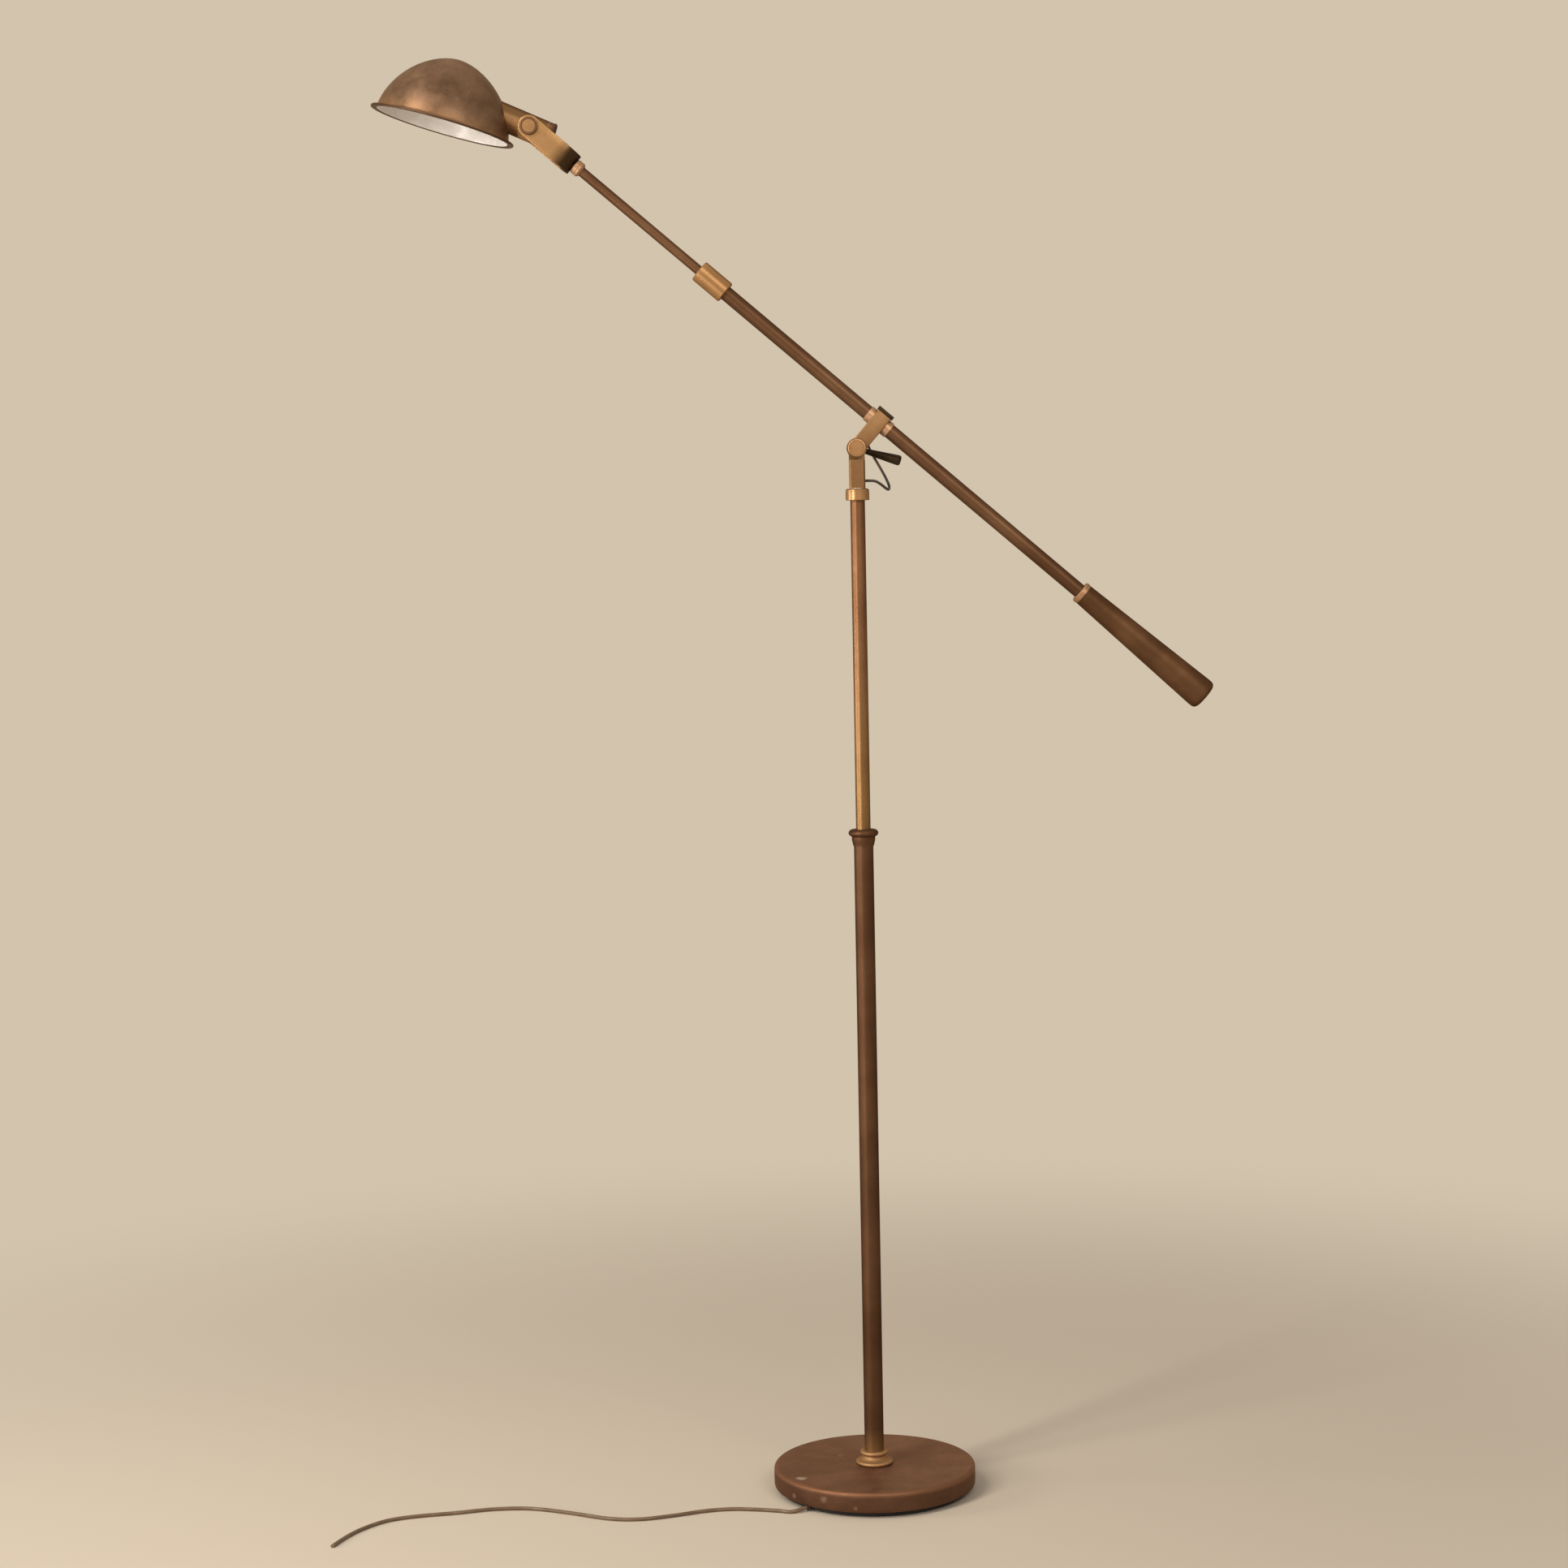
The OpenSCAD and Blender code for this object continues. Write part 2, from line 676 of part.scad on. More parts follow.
module base_washer() {
  color(steel) translate([0, 0, nut_top]) tube(washer_r, nipple_r + pass, washer_t);
}

module cord_grommet() {
  color(dark_metal) at_outlet(grommet_start) tube(grommet_r, cord_d / 2, grommet_end - grommet_start);
}

// The lead from the grommet to the middle of the base and up into the nipple
module base_lead() {
  r = cord_d / 2;
  color(lead_brown) {
    at_outlet(lead_bend_r - 0.3) cylinder(r = r, h = grommet_end - lead_bend_r + 0.3);
    rotate([0, 0, outlet_angle]) translate([lead_bend_r, 0, lead_z + lead_bend_r]) rotate([90, 0, 0])
      rotate([0, 0, 180]) rotate_extrude(angle = 90) translate([lead_bend_r, 0]) circle(r = r);
    translate([0, 0, lead_z + lead_bend_r - 0.3])
      cylinder(r = r, h = column_foot_z - lead_z - lead_bend_r + 0.3);
  }
}

// The lead outside, straight out of the grommet, down to the floor and along it
module power_cord() {
  out = [cos(outlet_angle), sin(outlet_angle)];
  start = grommet_end * out;
  straight = (grommet_end + lead_straight) * out;
  floor_z = cord_d / 2 + 0.05;
  route = concat([[straight.x, straight.y, lead_z]], [for (p = cord_route) [p.x, p.y, floor_z]]);
  color(lead_brown) sweep(concat([[start.x, start.y, lead_z]], smooth(route, 4)), cord_d / 2, 8,
    [0, 0, 1]);
}

module lower_column() {
  color(brown_tube) translate([0, 0, column_foot_z]) tube(lower_r, lower_bore_r, lower_len);
}

module column_cap() {
  skirt_r = lower_r + cap_skirt_wall;
  color(aged_brass) difference() {
    union() {
      translate([0, 0, cap_top_z - cap_bead_h]) bead(cap_bead_d / 2, 1, cap_bead_h);
      translate([0, 0, cap_top_z - cap_h + cap_taper_h])
        cylinder(r = cap_neck_d / 2, h = cap_h - cap_taper_h - cap_bead_h / 2);
      translate([0, 0, cap_top_z - cap_h]) cylinder(r1 = skirt_r, r2 = cap_neck_d / 2, h = cap_taper_h);
    }
    translate([0, 0, cap_top_z - cap_h - 1]) cylinder(r = lower_r, h = cap_h + 1 - cap_lip);
    translate([0, 0, cap_top_z - cap_h - 1]) cylinder(r = upper_r + pass, h = cap_h + 2);
  }
}

module column_bush() {
  color("wheat") translate([0, 0, column_top_z - bush_len]) tube(lower_bore_r, upper_r + fit, bush_len);
}

module upper_column() {
  color(brown_tube) translate([0, 0, upper_foot_z])
    tube(upper_r, upper_bore_r, web_bottom_z - upper_foot_z);
}

module guide_sleeve() {
  color("wheat") translate([0, 0, upper_foot_z]) tube(lower_bore_r - fit, upper_r, guide_len);
}

module swivel_ring() {
  r = ring_d / 2;
  color(aged_brass) difference() {
    union() {
      translate([0, 0, ring_bottom_z]) cylinder(r = r, h = ring_h - ring_chamfer);
      translate([0, 0, ring_top_z - ring_chamfer])
        cylinder(r1 = r, r2 = r - ring_chamfer, h = ring_chamfer);
    }
    translate([0, 0, ring_bottom_z - 1]) cylinder(r = upper_r, h = ring_h + 1 - ring_web);
    translate([0, 0, ring_bottom_z]) cylinder(r = stem_r + fit, h = ring_h + 1);
  }
}

module swivel_washer() {
  color("wheat") translate([0, 0, ring_top_z])
    tube(ring_d / 2 - ring_chamfer - washer_inset, stem_r + fit, swivel_washer_t);
}

module pivot_post() {
  color(aged_brass) difference() {
    union() {
      translate([0, 0, post_z]) chamfered_bar(post_w, post_depth, post_chamfer, shoulder_z - post_z);
      translate([0, 0, stem_end_z]) cylinder(r = stem_r, h = post_z + 1 - stem_end_z);
      translate([0, -tongue_t / 2, pivot_z]) along_y() cylinder(r = tongue_r, h = tongue_t);
      translate([-post_w / 2, -tongue_t / 2, shoulder_z - 1])
        cube([post_w, tongue_t, pivot_z - shoulder_z + 1]);
    }
    translate([0, -tongue_t, pivot_z]) along_y() cylinder(r = bolt_r + fit, h = 2 * tongue_t);
    translate([0, 0, stem_end_z - 1]) cylinder(r = wire_r, h = outlet_z - stem_end_z + 1);
    translate([0, 0, outlet_z]) along_x() cylinder(r = wire_r, h = post_w);
  }
}

module swivel_nut() {
  color(steel) translate([0, 0, stem_end_z]) tube(upper_bore_r - stem_nut_gap, stem_r, stem_nut_t);
}

module clamp_arm() {
  color(aged_brass) on_boom() difference() {
    intersection() {
      translate([0, 0, -arm_w]) chamfered_bar(arm_w, arm_depth, arm_chamfer, block_top + arm_w);
      translate([0, -arm_half, 0]) union() {
        along_y() cylinder(r = arm_w / 2, h = arm_depth);
        translate([-arm_w / 2, 0, 0]) cube([arm_w, arm_depth, block_top]);
      }
    }
    translate([-arm_w, -cheek_in, -arm_w]) cube([2 * arm_w, 2 * cheek_in, arm_w + slot_end]);
    translate([0, -arm_depth, 0]) along_y() cylinder(r = bolt_r, h = 2 * arm_depth);
    translate([-arm_w, 0, boom_offset]) along_x() cylinder(r = sleeve_r, h = 2 * arm_w);
    translate([0, 0, inlet_rise]) along_y() cylinder(r = loop_d / 2, h = arm_depth);
    translate([0, 0, inlet_rise]) cylinder(r = wire_r, h = boom_offset - inlet_rise);
    for (s = [-1, 1]) translate([s * grub_pitch / 2, 0, boom_offset])
      cylinder(r = grub_r, h = block_rise + 1);
  }
}

module clamp_cap() {
  color(dark_metal) on_boom() difference() {
    translate([-plate_len / 2, -arm_half, block_top]) cube([plate_len, arm_depth, plate_t]);
    for (s = [-1, 1]) translate([s * grub_pitch / 2, 0, block_top - 1])
      cylinder(r = grub_r, h = plate_t + 2);
  }
}

module set_screws() {
  grub_len = block_rise + plate_t - sleeve_r - grub_sink;
  color(dark_metal) on_axis() for (s = [-1, 1]) translate([s * grub_pitch / 2, 0, sleeve_r])
    difference() {
      cylinder(r = grub_r, h = grub_len);
      translate([0, 0, grub_len - grub_socket]) cylinder(r = grub_r / 2, h = grub_socket + 1, $fn = 6);
    }
}

module boom_sleeve() {
  color(aged_brass) on_axis() difference() {
    translate([-sleeve_len / 2, 0, 0]) along_x() tube(sleeve_r, boom_r, sleeve_len);
    translate([0, 0, -sleeve_r - 1]) cylinder(r = wire_r, h = sleeve_r);
  }
}

module pivot_bolt() {
  color(aged_brass) on_boom() {
    translate([0, -arm_half, 0]) along_y() cylinder(r = bolt_r, h = arm_half + bolt_end);
    translate([0, -arm_half, 0]) rotate([90, 0, 0]) rotate_extrude() difference() {
      union() {
        square([bolt_cap_r, bolt_cap_t - bolt_cap_round]);
        square([bolt_cap_r - bolt_cap_round, bolt_cap_t]);
        intersection() {
          translate([bolt_cap_r - bolt_cap_round, bolt_cap_t - bolt_cap_round])
            circle(r = bolt_cap_round);
          square([bolt_cap_r, bolt_cap_t]);
        }
      }
      translate([bolt_groove_r, bolt_cap_t]) circle(r = groove_depth);
    }
  }
}

module pivot_washers() {
  color("wheat") on_boom() for (s = [-1, 1])
    translate([0, s * (cheek_in - pivot_washer_t / 2) - pivot_washer_t / 2, 0])
      along_y() tube(arm_w / 2 - 0.4, bolt_r, pivot_washer_t);
}

module boom_tube() {
  color(brown_tube) on_axis() difference() {
    translate([-tube_front, 0, 0]) along_x() tube(boom_r, boom_bore_r, tube_front + tube_back);
    translate([0, 0, -boom_r - 1]) cylinder(r = wire_r, h = boom_r);
  }
}

module boom_collar() {
  r = collar_d / 2;
  color(brass) on_axis() difference() {
    translate([-collar_front, 0, 0]) along_x() union() {
      translate([0, 0, collar_chamfer]) cylinder(r = r, h = collar_len - 2 * collar_chamfer);
      cylinder(r1 = r - collar_chamfer, r2 = r, h = collar_chamfer);
      translate([0, 0, collar_len - collar_chamfer])
        cylinder(r1 = r, r2 = r - collar_chamfer, h = collar_chamfer);
    }
    translate([-tube_front - boom_bush_flange, 0, 0]) along_x() cylinder(r = boom_r, h = collar_len);
    translate([-collar_front - 1, 0, 0]) along_x() cylinder(r = rod_r + pass, h = collar_len);
  }
}

module boom_bush() {
  color("wheat") on_axis() translate([-tube_front, 0, 0]) along_x() difference() {
    union() {
      cylinder(r = boom_bore_r, h = boom_bush_len);
      translate([0, 0, -boom_bush_flange]) cylinder(r = boom_r, h = boom_bush_flange);
    }
    translate([0, 0, -boom_bush_flange - 1]) cylinder(r = rod_r + fit, h = 2 * boom_bush_len);
  }
}

// Radius of the counterweight at a distance behind its neck
function taper_at(x) = weight_neck_r + (weight_end_r - weight_neck_r) * x / weight_len;

module counterweight() {
  body_len = weight_len - weight_ring_len - weight_cap_len;
  r1 = taper_at(weight_ring_len);
  r2 = taper_at(weight_len - weight_cap_len);
  color(bronze) on_axis() translate([weight_start + weight_ring_len, 0, 0]) along_x() difference() {
    cylinder(r1 = r1, r2 = r2, h = body_len);
    translate([0, 0, -0.001]) cylinder(r1 = r1 - weight_wall, r2 = r2 - weight_wall, h = body_len + 0.002);
  }
}

module weight_core() {
  body_len = weight_len - weight_ring_len - weight_cap_len;
  inner = weight_wall + core_gap;
  color(iron) on_axis() difference() {
    translate([weight_start + weight_ring_len, 0, 0]) along_x()
      cylinder(r1 = taper_at(weight_ring_len) - inner, r2 = taper_at(weight_len - weight_cap_len) - inner,
        h = body_len);
    translate([weight_start - 1, 0, 0]) along_x() cylinder(r = boom_r, h = boom_tail + 1);
  }
}

module weight_ring() {
  color(aged_brass) on_axis() translate([weight_start, 0, 0]) along_x() difference() {
    union() {
      cylinder(r1 = weight_ring_r - weight_ring_chamfer, r2 = weight_ring_r, h = weight_ring_chamfer);
      translate([0, 0, weight_ring_chamfer])
        cylinder(r = weight_ring_r, h = weight_ring_len - weight_ring_chamfer);
    }
    translate([0, 0, -1]) cylinder(r = boom_r, h = weight_ring_len + 2);
  }
}

module weight_cap() {
  r = taper_at(weight_len - weight_cap_len);
  e = weight_cap_round;
  color(bronze) on_axis() translate([weight_end - weight_cap_len, 0, 0]) along_x() rotate_extrude() {
    square([r, weight_cap_len - e]);
    square([r - e, weight_cap_len]);
    intersection() {
      translate([r - e, weight_cap_len - e]) circle(r = e);
      square([r, weight_cap_len]);
    }
  }
}

// The loop of lead from the post's side, out behind the lever and into the arm's back
module pivot_cord() {
  start = [post_w / 2, 0, outlet_z];
  inlet = [inlet_rise * sin(boom_angle), arm_half, pivot_z + inlet_rise * cos(boom_angle)];
  path = concat([start, start + [6, 0, 0]],
    [for (p = loop_route) [p.x, p.y, pivot_z + p.z]],
    [inlet + [0, 4, 0], inlet]);
  color(dark_metal) sweep(smooth(path, 3), loop_d / 2, 8, [0, 0, 1]);
}

module lever_handle() {
  cone_len = lever_reach - lever_tip_r;
  color(dark_metal) translate([0, 0, pivot_z]) rotate([0, lever_angle, 0]) difference() {
    union() {
      translate([0, lever_start, 0]) along_y() cylinder(r = lever_boss_r, h = lever_boss_len);
      translate([0, lever_y, 0]) along_x() cylinder(r1 = lever_thin_r, r2 = lever_tip_r, h = cone_len);
      translate([cone_len, lever_y, 0]) sphere(r = lever_tip_r);
    }
    translate([0, lever_start - 1, 0]) along_y() cylinder(r = bolt_r + fit, h = bolt_end - lever_start + 1.5);
  }
}

module rod() {
  color(aged_brass) on_axis() translate([-rod_front, 0, 0]) along_x()
    tube(rod_r, rod_bore_r, rod_front - rod_inner);
}

module rod_guide() {
  color("wheat") on_axis() translate([-rod_inner - rod_guide_len, 0, 0]) along_x()
    tube(boom_bore_r - fit, rod_r, rod_guide_len);
}

module rod_ferrule() {
  r = ferrule_d / 2;
  slope_z = ferrule_len - ferrule_slope;
  color(brass) on_axis() translate([-ferrule_tip, 0, 0]) along_x() difference() {
    rotate_extrude() {
      translate([0, ferrule_chamfer]) square([r, ferrule_len - ferrule_chamfer - ferrule_slope]);
      polygon([[0, 0], [r - ferrule_chamfer, 0], [r, ferrule_chamfer], [0, ferrule_chamfer]]);
      polygon([[0, slope_z], [r, slope_z], [rod_r + 1, ferrule_len], [0, ferrule_len]]);
    }
    translate([0, 0, ferrule_front]) cylinder(r = rod_r, h = ferrule_len);
    translate([0, 0, -1]) cylinder(r = yoke_stem_r + fit, h = ferrule_len);
  }
}

// The U-shaped strap, with its stem in the ferrule
module yoke() {
  bend_x = -yoke_close - yoke_outer;
  straight = yoke_reach - yoke_outer;
  color(brass) on_axis() difference() {
    union() {
      intersection() {
        translate([0, 0, -yoke_w / 2]) linear_extrude(yoke_w) difference() {
          union() {
            translate([bend_x, 0]) circle(r = yoke_outer);
            translate([head_x - yoke_w, -yoke_outer]) square([straight + yoke_w, 2 * yoke_outer]);
          }
          translate([bend_x, 0]) circle(r = yoke_half_gap);
          translate([head_x - yoke_w - 1, -yoke_half_gap])
            square([straight + yoke_w + 1, 2 * yoke_half_gap]);
        }
        translate([head_x, -yoke_outer - 1, 0]) union() {
          along_y() cylinder(r = yoke_w / 2, h = 2 * yoke_outer + 2);
          translate([0, 0, -yoke_w / 2]) cube([yoke_reach + 1, 2 * yoke_outer + 2, yoke_w]);
        }
      }
      translate([-yoke_close - yoke_t / 2, 0, 0]) along_x()
        cylinder(r = yoke_stem_r, h = yoke_t / 2 + yoke_gap + ferrule_front + air + clip_t);
    }
    translate([head_x, -yoke_outer - 1, 0]) along_y() cylinder(r = trunnion_r + fit, h = 2 * yoke_outer + 2);
    translate([-yoke_close - yoke_t - 1, 0, 0]) along_x() cylinder(r = yoke_bore_r, h = yoke_t + 20);
  }
}

module swivel_clip() {
  color(steel) on_axis() translate([-rod_front + air, 0, 0]) along_x()
    tube(rod_bore_r - pass, yoke_stem_r, clip_t);
}

module housing() {
  color(brass) on_head() difference() {
    union() {
      translate([-housing_nose, 0, 0]) along_x() cylinder(r = housing_r, h = housing_nose + housing_tail);
      translate([0, -boss_y, 0]) along_y() cylinder(r = boss_r, h = 2 * boss_y);
    }
    translate([-housing_nose - 1, 0, 0]) along_x()
      cylinder(r = housing_bore_r, h = housing_nose + housing_tail + 2);
    translate([0, -boss_y - 1, 0]) along_y() cylinder(r = trunnion_r, h = 2 * boss_y + 2);
    translate([-switch_ahead, 0, 0]) along_y() cylinder(r = spindle_r + fit, h = 2 * housing_r);
  }
}

module housing_cap() {
  r = housing_r + housing_cap_lip;
  color(brass) on_head() translate([housing_tail, 0, 0]) along_x() difference() {
    union() {
      cylinder(r = r, h = housing_cap_t - housing_cap_chamfer);
      translate([0, 0, housing_cap_t - housing_cap_chamfer])
        cylinder(r1 = r, r2 = r - housing_cap_chamfer, h = housing_cap_chamfer);
      translate([0, 0, -housing_plug_len]) cylinder(r = housing_bore_r, h = housing_plug_len + 1);
    }
    translate([0, 0, -housing_plug_len - 1])
      cylinder(r = tail_hole_r, h = housing_plug_len + housing_cap_t + 2);
  }
}

module trunnion() {
  cap_start = yoke_outer + air;
  e = trunnion_cap_round;
  translate([0, trunnion_tip, 0]) along_y() cylinder(r = trunnion_r, h = cap_start - trunnion_tip + 1);
  translate([0, cap_start, 0]) along_y() rotate_extrude() difference() {
    union() {
      square([trunnion_cap_r, trunnion_cap_t - e]);
      square([trunnion_cap_r - e, trunnion_cap_t]);
      intersection() {
        translate([trunnion_cap_r - e, trunnion_cap_t - e]) circle(r = e);
        square([trunnion_cap_r, trunnion_cap_t]);
      }
    }
    translate([trunnion_groove_r, trunnion_cap_t]) circle(r = groove_depth);
  }
}

module head_trunnions() {
  color(aged_brass) on_head() {
    trunnion();
    rotate([0, 0, 180]) trunnion();
  }
}

module head_washers() {
  color("wheat") on_head() for (s = [-1, 1])
    translate([0, s * (boss_y + head_washer_t / 2) - head_washer_t / 2, 0])
      along_y() tube(boss_r, trunnion_r, head_washer_t);
}

// Half section of the dome with a given wall taken off, from the rim to the top
function dome_point(a, off) = [
  (dome_r - off) * pow(cos(a), 2 / dome_power), (dome_h - off) * pow(sin(a), 2 / dome_power)];
function dome_curve(off) = [for (i = [0 : dome_steps]) dome_point(90 * i / dome_steps, off)];

module shade_section() {
  difference() {
    union() {
      polygon(concat([[0, 0]], dome_curve(0)));
      polygon([[0, 0], [rim_r - roll_r, 0], [rim_r - roll_r, shade_wall],
        [dome_r + cove_h * 0.8, shade_wall + cove_h * 0.2],
        [dome_r + cove_h * 0.3, shade_wall + cove_h * 0.7],
        [dome_r - 0.4, 2 * roll_r + cove_h], [0, 2 * roll_r + cove_h]]);
      translate([rim_r - roll_r, roll_r]) circle(r = roll_r, $fn = 24);
    }
    polygon(concat([[-1, -1], [-1, 0]], [[0, 0]], dome_curve(shade_wall)));
    translate([-1, -1]) square([dome_r - shade_wall + 1, 1.001]);
  }
}

module shade() {
  color(bronze) difference() {
    on_shade() translate([-shade_reach, 0, -shade_drop]) rotate_extrude($fn = 96) shade_section();
    on_head() translate([-housing_nose, 0, 0]) along_x() cylinder(r = housing_r, h = housing_nose);
  }
}

module shade_nut() {
  color(steel) on_head() translate([-housing_nose, 0, 0]) along_x()
    tube(shade_nut_r, housing_r, shade_nut_len);
}

module lampholder() {
  length = holder_front - holder_back;
  color("ivory") on_head() difference() {
    translate([-holder_front, 0, 0]) along_x() cylinder(r = housing_bore_r, h = length);
    translate([-holder_front - 1, 0, 0]) along_x() cylinder(r = socket_r, h = length - socket_floor + 1);
    translate([-switch_ahead, 0, 0]) along_y() cylinder(r = spindle_r + fit, h = 2 * housing_r);
  }
}

module centre_contact() {
  color(brass) on_head() translate([-contact_front, 0, 0]) along_x()
    cylinder(r = contact_r, h = contact_t);
}

// A cup with its closed end on the contact, open towards the glass
module bulb_cap() {
  color(steel) on_head() translate([-glass_start, 0, 0]) along_x() difference() {
    cylinder(r = bulb_cap_r, h = bulb_cap_len);
    translate([0, 0, -1]) cylinder(r = bulb_cap_r - bulb_cap_wall, h = bulb_cap_len - 1);
  }
}

module bulb_outline(off) {
  centre = bulb_middle - glass_start;
  difference() {
    union() {
      translate([0, centre]) circle(r = bulb_r - off);
      translate([0, -6]) square([bulb_neck_r - off, centre + 6]);
    }
    translate([-2 * bulb_r, -7]) square([2 * bulb_r, 4 * bulb_r]);
  }
}

module bulb_glass() {
  color("lavender") on_head() translate([-glass_start, 0, 0]) rotate([0, -90, 0])
    rotate_extrude() difference() {
      bulb_outline(0);
      bulb_outline(bulb_wall);
      translate([0, -7]) square([bulb_neck_r - bulb_wall, 3]);
    }
}

module switch_knob() {
  base_y = housing_r + 0.3;
  color(dark_metal) on_head() translate([-switch_ahead, 0, 0]) {
      translate([0, socket_r + 0.3, 0]) along_y() cylinder(r = spindle_r, h = base_y + 1 - socket_r);
      translate([0, base_y, 0]) along_y() cylinder(r = knob_r, h = knob_foot_h);
      translate([0, base_y, 0]) along_y() intersection() {
        cylinder(r = knob_r, h = knob_h);
        translate([-knob_r, -knob_blade / 2, 0]) cube([2 * knob_r, knob_blade, knob_h]);
      }
  }
}

base_pad();
base_weight();
base_shell();
base_collar();
column_plug();
threaded_nipple();
base_nut();
base_washer();
cord_grommet();
base_lead();
power_cord();
lower_column();
column_cap();
column_bush();
upper_column();
guide_sleeve();
swivel_ring();
swivel_washer();
pivot_post();
swivel_nut();
clamp_arm();
clamp_cap();
set_screws();
boom_sleeve();
pivot_bolt();
pivot_washers();
boom_tube();
boom_collar();
boom_bush();
counterweight();
weight_core();
weight_ring();
weight_cap();
pivot_cord();
lever_handle();
rod();
rod_guide();
rod_ferrule();
yoke();
swivel_clip();
housing();
housing_cap();
head_trunnions();
head_washers();
shade();
shade_nut();
lampholder();
centre_contact();
bulb_cap();
bulb_glass();
switch_knob();
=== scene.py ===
# %% [markdown]
# # A bridge floor lamp with a counterbalanced boom
#
# The lamp stands on a heavy round base. A column in two telescoping tubes carries a knuckle that
# swivels and tilts, and the knuckle holds a long boom: a tapered counterweight at its low end, a
# sliding rod and a domed reading head at its high end. Everything is brass and steel that was
# browned to an old bronze, so most of this lesson is about turned metal and its worn finish.
#
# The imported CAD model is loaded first. Its nodes are the frame: they are never moved, and each new
# piece is built in place over the node that it stands for.

# %% Load the frame
import math

import bpy
from mathutils import Matrix, Vector


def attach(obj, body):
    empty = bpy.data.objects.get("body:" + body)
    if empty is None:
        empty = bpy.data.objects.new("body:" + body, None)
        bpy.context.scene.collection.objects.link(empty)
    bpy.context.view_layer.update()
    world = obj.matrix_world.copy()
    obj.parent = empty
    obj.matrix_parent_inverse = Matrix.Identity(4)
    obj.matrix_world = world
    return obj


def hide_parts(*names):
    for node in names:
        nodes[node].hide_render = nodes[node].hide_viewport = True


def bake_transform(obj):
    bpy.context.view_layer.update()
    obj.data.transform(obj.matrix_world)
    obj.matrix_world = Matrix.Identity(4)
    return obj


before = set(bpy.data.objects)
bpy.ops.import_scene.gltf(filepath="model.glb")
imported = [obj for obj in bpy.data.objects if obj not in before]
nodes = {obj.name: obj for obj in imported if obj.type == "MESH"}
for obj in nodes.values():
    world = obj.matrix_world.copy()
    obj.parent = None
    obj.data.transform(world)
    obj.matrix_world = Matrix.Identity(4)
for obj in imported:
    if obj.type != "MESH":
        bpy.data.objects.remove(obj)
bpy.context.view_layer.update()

# %% [markdown]
# ## The camera
#
# The photograph was taken with a longish lens from about four metres, a little above the middle
# of the lamp and tipped slightly down. The lamp also leans a degree in the picture, because the
# camera was rolled. A camera that was fitted to the base's ellipse, the column and the boom gives
# these numbers, so the render can be laid over the photograph.

# %% Camera
lens_mm = 70.0
camera_place = Vector((-0.1023, -3.9582, 1.2483))
pitch_down = math.radians(4.48)
roll = math.radians(1.13)

look = Vector((0.0, math.cos(pitch_down), -math.sin(pitch_down)))
level_up = Vector((0.0, math.sin(pitch_down), math.cos(pitch_down)))
level_right = Vector((1.0, 0.0, 0.0))
right = level_right * math.cos(roll) - level_up * math.sin(roll)
up = level_right * math.sin(roll) + level_up * math.cos(roll)
turn = Matrix((right, up, -look)).transposed().to_4x4()

camera_data = bpy.data.cameras.new("photo_camera")
camera_data.lens = lens_mm
camera_data.sensor_width = 36.0
camera = bpy.data.objects.new("photo_camera", camera_data)
camera.matrix_world = Matrix.Translation(camera_place) @ turn
bpy.context.scene.collection.objects.link(camera)
bpy.context.scene.camera = camera
print("camera at", [round(v, 3) for v in camera_place], "lens", lens_mm)

# %% [markdown]
# ## Four frames to build in
#
# The boom runs at 41 degrees, the lamp housing at 24 and the dome's rim at 16.5, and turned parts
# are easiest to make upright at the origin. So each tilted piece is modelled square, and one
# matrix then lays it in its place: `boom_frame` has its origin on the pivot with X along the
# boom, `axis_frame` has the boom's own axis as X, and `head_frame` and `shade_frame` both have
# their origin on the head's pivot, one along the housing and one along the rim.

# %% Frames of the boom and the head
MM = 0.001
pivot_mm = 1371.2
pivot_z = pivot_mm * MM
boom_offset = 44 * MM
ferrule_tip = -509 * MM
yoke_close = ferrule_tip - 0.3 * MM
head_x = yoke_close - 73.3 * MM
boom_turn = math.radians(41)
head_turn = math.radians(24)
shade_turn = math.radians(16.5)

boom_frame = Matrix.Translation((0, 0, pivot_z)) @ Matrix.Rotation(boom_turn, 4, "Y")
axis_frame = boom_frame @ Matrix.Translation((0, 0, boom_offset))
head_pivot = axis_frame @ Matrix.Translation((head_x, 0, 0))
head_frame = head_pivot @ Matrix.Rotation(head_turn - boom_turn, 4, "Y")
shade_frame = head_pivot @ Matrix.Rotation(shade_turn - boom_turn, 4, "Y")
print("head pivot", [round(v, 4) for v in head_frame.translation])

# %% [markdown]
# ## The two leads
#
# A lead is a length of something flexible, so its route comes first. The mains lead leaves the
# base through a bush at the rim of the iron weight, drops to the floor and wanders off to the
# left in loose curves, as the photograph shows it from end to end. A curve through the given
# points would do, but a tube mesh is used instead: its UV map lets the finish follow the lead.


# %% A smooth route through points
def between(a, b, c, d, u):
    """The point at u from b to c on the smooth curve through a, b, c and d."""
    return 0.5 * (2 * b + (c - a) * u + (2 * a - 5 * b + 4 * c - d) * u ** 2
                  + (3 * b - a - 3 * c + d) * u ** 3)


def smooth_route(points, steps):
    line = [Vector(p) for p in points]
    last = len(line) - 1
    route = [between(line[max(i - 1, 0)], line[i], line[i + 1], line[min(i + 2, last)], k / steps)
             for i in range(last) for k in range(steps)]
    return route + [line[-1]]


def route_length(route):
    return sum((b - a).length for a, b in zip(route, route[1:]))


